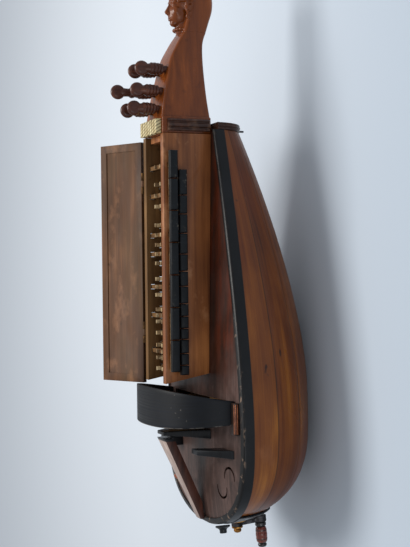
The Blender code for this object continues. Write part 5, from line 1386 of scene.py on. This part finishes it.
def handle_finish():
    """Red-brown varnished barrel between two black ends, told apart by the distance along the handle."""
    paint = Paint("handle_wood", 0.16, coat=0.8)
    middle = TO_MODEL + ON_HANDLE @ Vector((0, 0, GRIP_MIDDLE))
    direction = (ON_HANDLE.to_3x3() @ Vector((0, 0, 1))).normalized()
    offset = paint.measure("SUBTRACT", tuple(middle), 0)
    along = paint.node("ShaderNodeVectorMath", {"operation": "DOT_PRODUCT"}, {0: offset, 1: tuple(direction)},
                       output=1)
    figure = paint.noise((60, 500, 500), 4, 0.6, shift=161)
    red = paint.mix(paint.between(figure, 0.35, 0.7), (78, 26, 18), (138, 58, 38))
    ends = paint.between(abs(along), 8.9 * MM, 9.2 * MM)
    line = paint.between(abs(abs(along) - 5.2 * MM), 0.75 * MM, 0.45 * MM)
    color = paint.mix(line * 0.85, red, (26, 16, 14))
    color = paint.mix(ends, color, paint.mix(figure, (16, 14, 15), (38, 34, 35)))
    return paint.finish(color, 0.14 + 0.25 * paint.between(figure, 0.4, 0.8), figure, 0.05 * MM, 0.4)


def tailpiece_finish():
    """Greyish top, redder side, blackened head end; painted light pales the top, painted shade darkens the
    side.
    """
    paint = wood("tailpiece_wood", (218, 200, 190), (192, 172, 162), (136, 114, 104), "x", 0.40, 0.2, 0.6,
                 0.4, 171)
    # Painted light and shade: faces that point up take the pale wood colours, the sides the dark red ones.
    normal = paint.node("ShaderNodeNewGeometry", output=1)
    upward = paint.node("ShaderNodeSeparateXYZ", None, {0: normal}, output=2)
    figure = paint.patches(0.35, 0.7, (14, 130, 130), 4, 0.6, shift=173)
    side = paint.mix(figure, (54, 29, 22), (92, 54, 42))
    color = paint.mix(paint.between(upward, 0.35, 0.7), side, paint.color)
    at_head_end = paint.between(paint.axis(0), TAILPIECE_HEAD_X, TAILPIECE_HEAD_X + 0.4 * MM)
    return paint.recolor(paint.mix(at_head_end, color, (20, 20, 23)))


def tension_finish():
    """A copper pin with a brass collar by the tailpiece."""
    copper, shade = (206, 122, 84), (118, 60, 40)
    paint = metal("tension_copper", copper, shade, 0.28, 181)
    ring = paint.between(paint.axis(1), 13.6 * MM, 13.4 * MM)
    cloud = paint.patches(0.35, 0.7, 120, 4, 0.6, shift=183)
    brass = paint.mix(cloud, (88, 62, 26), (204, 162, 84))
    return paint.recolor(paint.mix(ring, paint.mix(cloud, shade, copper), brass))


turned_at("crank_dome", NUT_PROFILE, ON_AXLE, BRASS, "crank_nut")
turned_at("crank_grip", HANDLE_PROFILE, ON_HANDLE, handle_finish(), "crank_handle")
turned_at("tension_pin", TENSION_PROFILE, facing(*TENSION_PLACE), tension_finish(), "tension_peg")
turned_at("strap_button", BUTTON_PROFILE, facing(*BUTTON_PLACE), BLACK, "tail_strap_button")
worked("bowl_tail_knob", BLACK, 0.6, 3)
worked("tailpiece", tailpiece_finish(), 0.7, 3)
print("fittings turned")

# %% [markdown]
# Under the cover the wheel is a thick disc of pale wood. Its rim is dark and shiny with rosin, where strings
# rub it, so the finish changes with the distance from the axle. A second material on the rim would leave a
# sharp border, where rosin fades out.

# %% The wheel
HALF_WHEEL = ((5.3, 10), (17, 10), (18, 9.2), (18, 4.0), (19.5, 3.5), (67.5, 3.5), (70, 4.6), (72, 5.8),
              (81, 6), (82, 5.2))
WHEEL_PROFILE = (*HALF_WHEEL, *[(r, -z) for r, z in reversed(HALF_WHEEL)], HALF_WHEEL[0])


def wheel_finish():
    paint = wood("wheel_wood", (206, 170, 120), (176, 136, 90), (118, 82, 52), "y", 0.5, 0.05, 0.7, 0.3, 191)
    reach = paint.measure("DISTANCE", tuple(TO_MODEL + Vector((0, 0, AXLE_Z))), 1)
    rim = paint.between(reach, 80.6 * MM, 81.6 * MM)
    rosin = paint.noise((140, 60, 60), 4, 0.65, shift=193)
    color = paint.mix(rim, paint.color, paint.mix(rosin, (40, 24, 14), (122, 78, 36)))
    return paint.finish(color, 0.5 - 0.28 * rim + 0.15 * rosin)


turned_at("wheel_disc", WHEEL_PROFILE, ON_AXLE, wheel_finish(), "wheel", steps=128, angle=math.radians(30))
print("wheel turned")

# %% The last lines
print("visual box", box_lists())
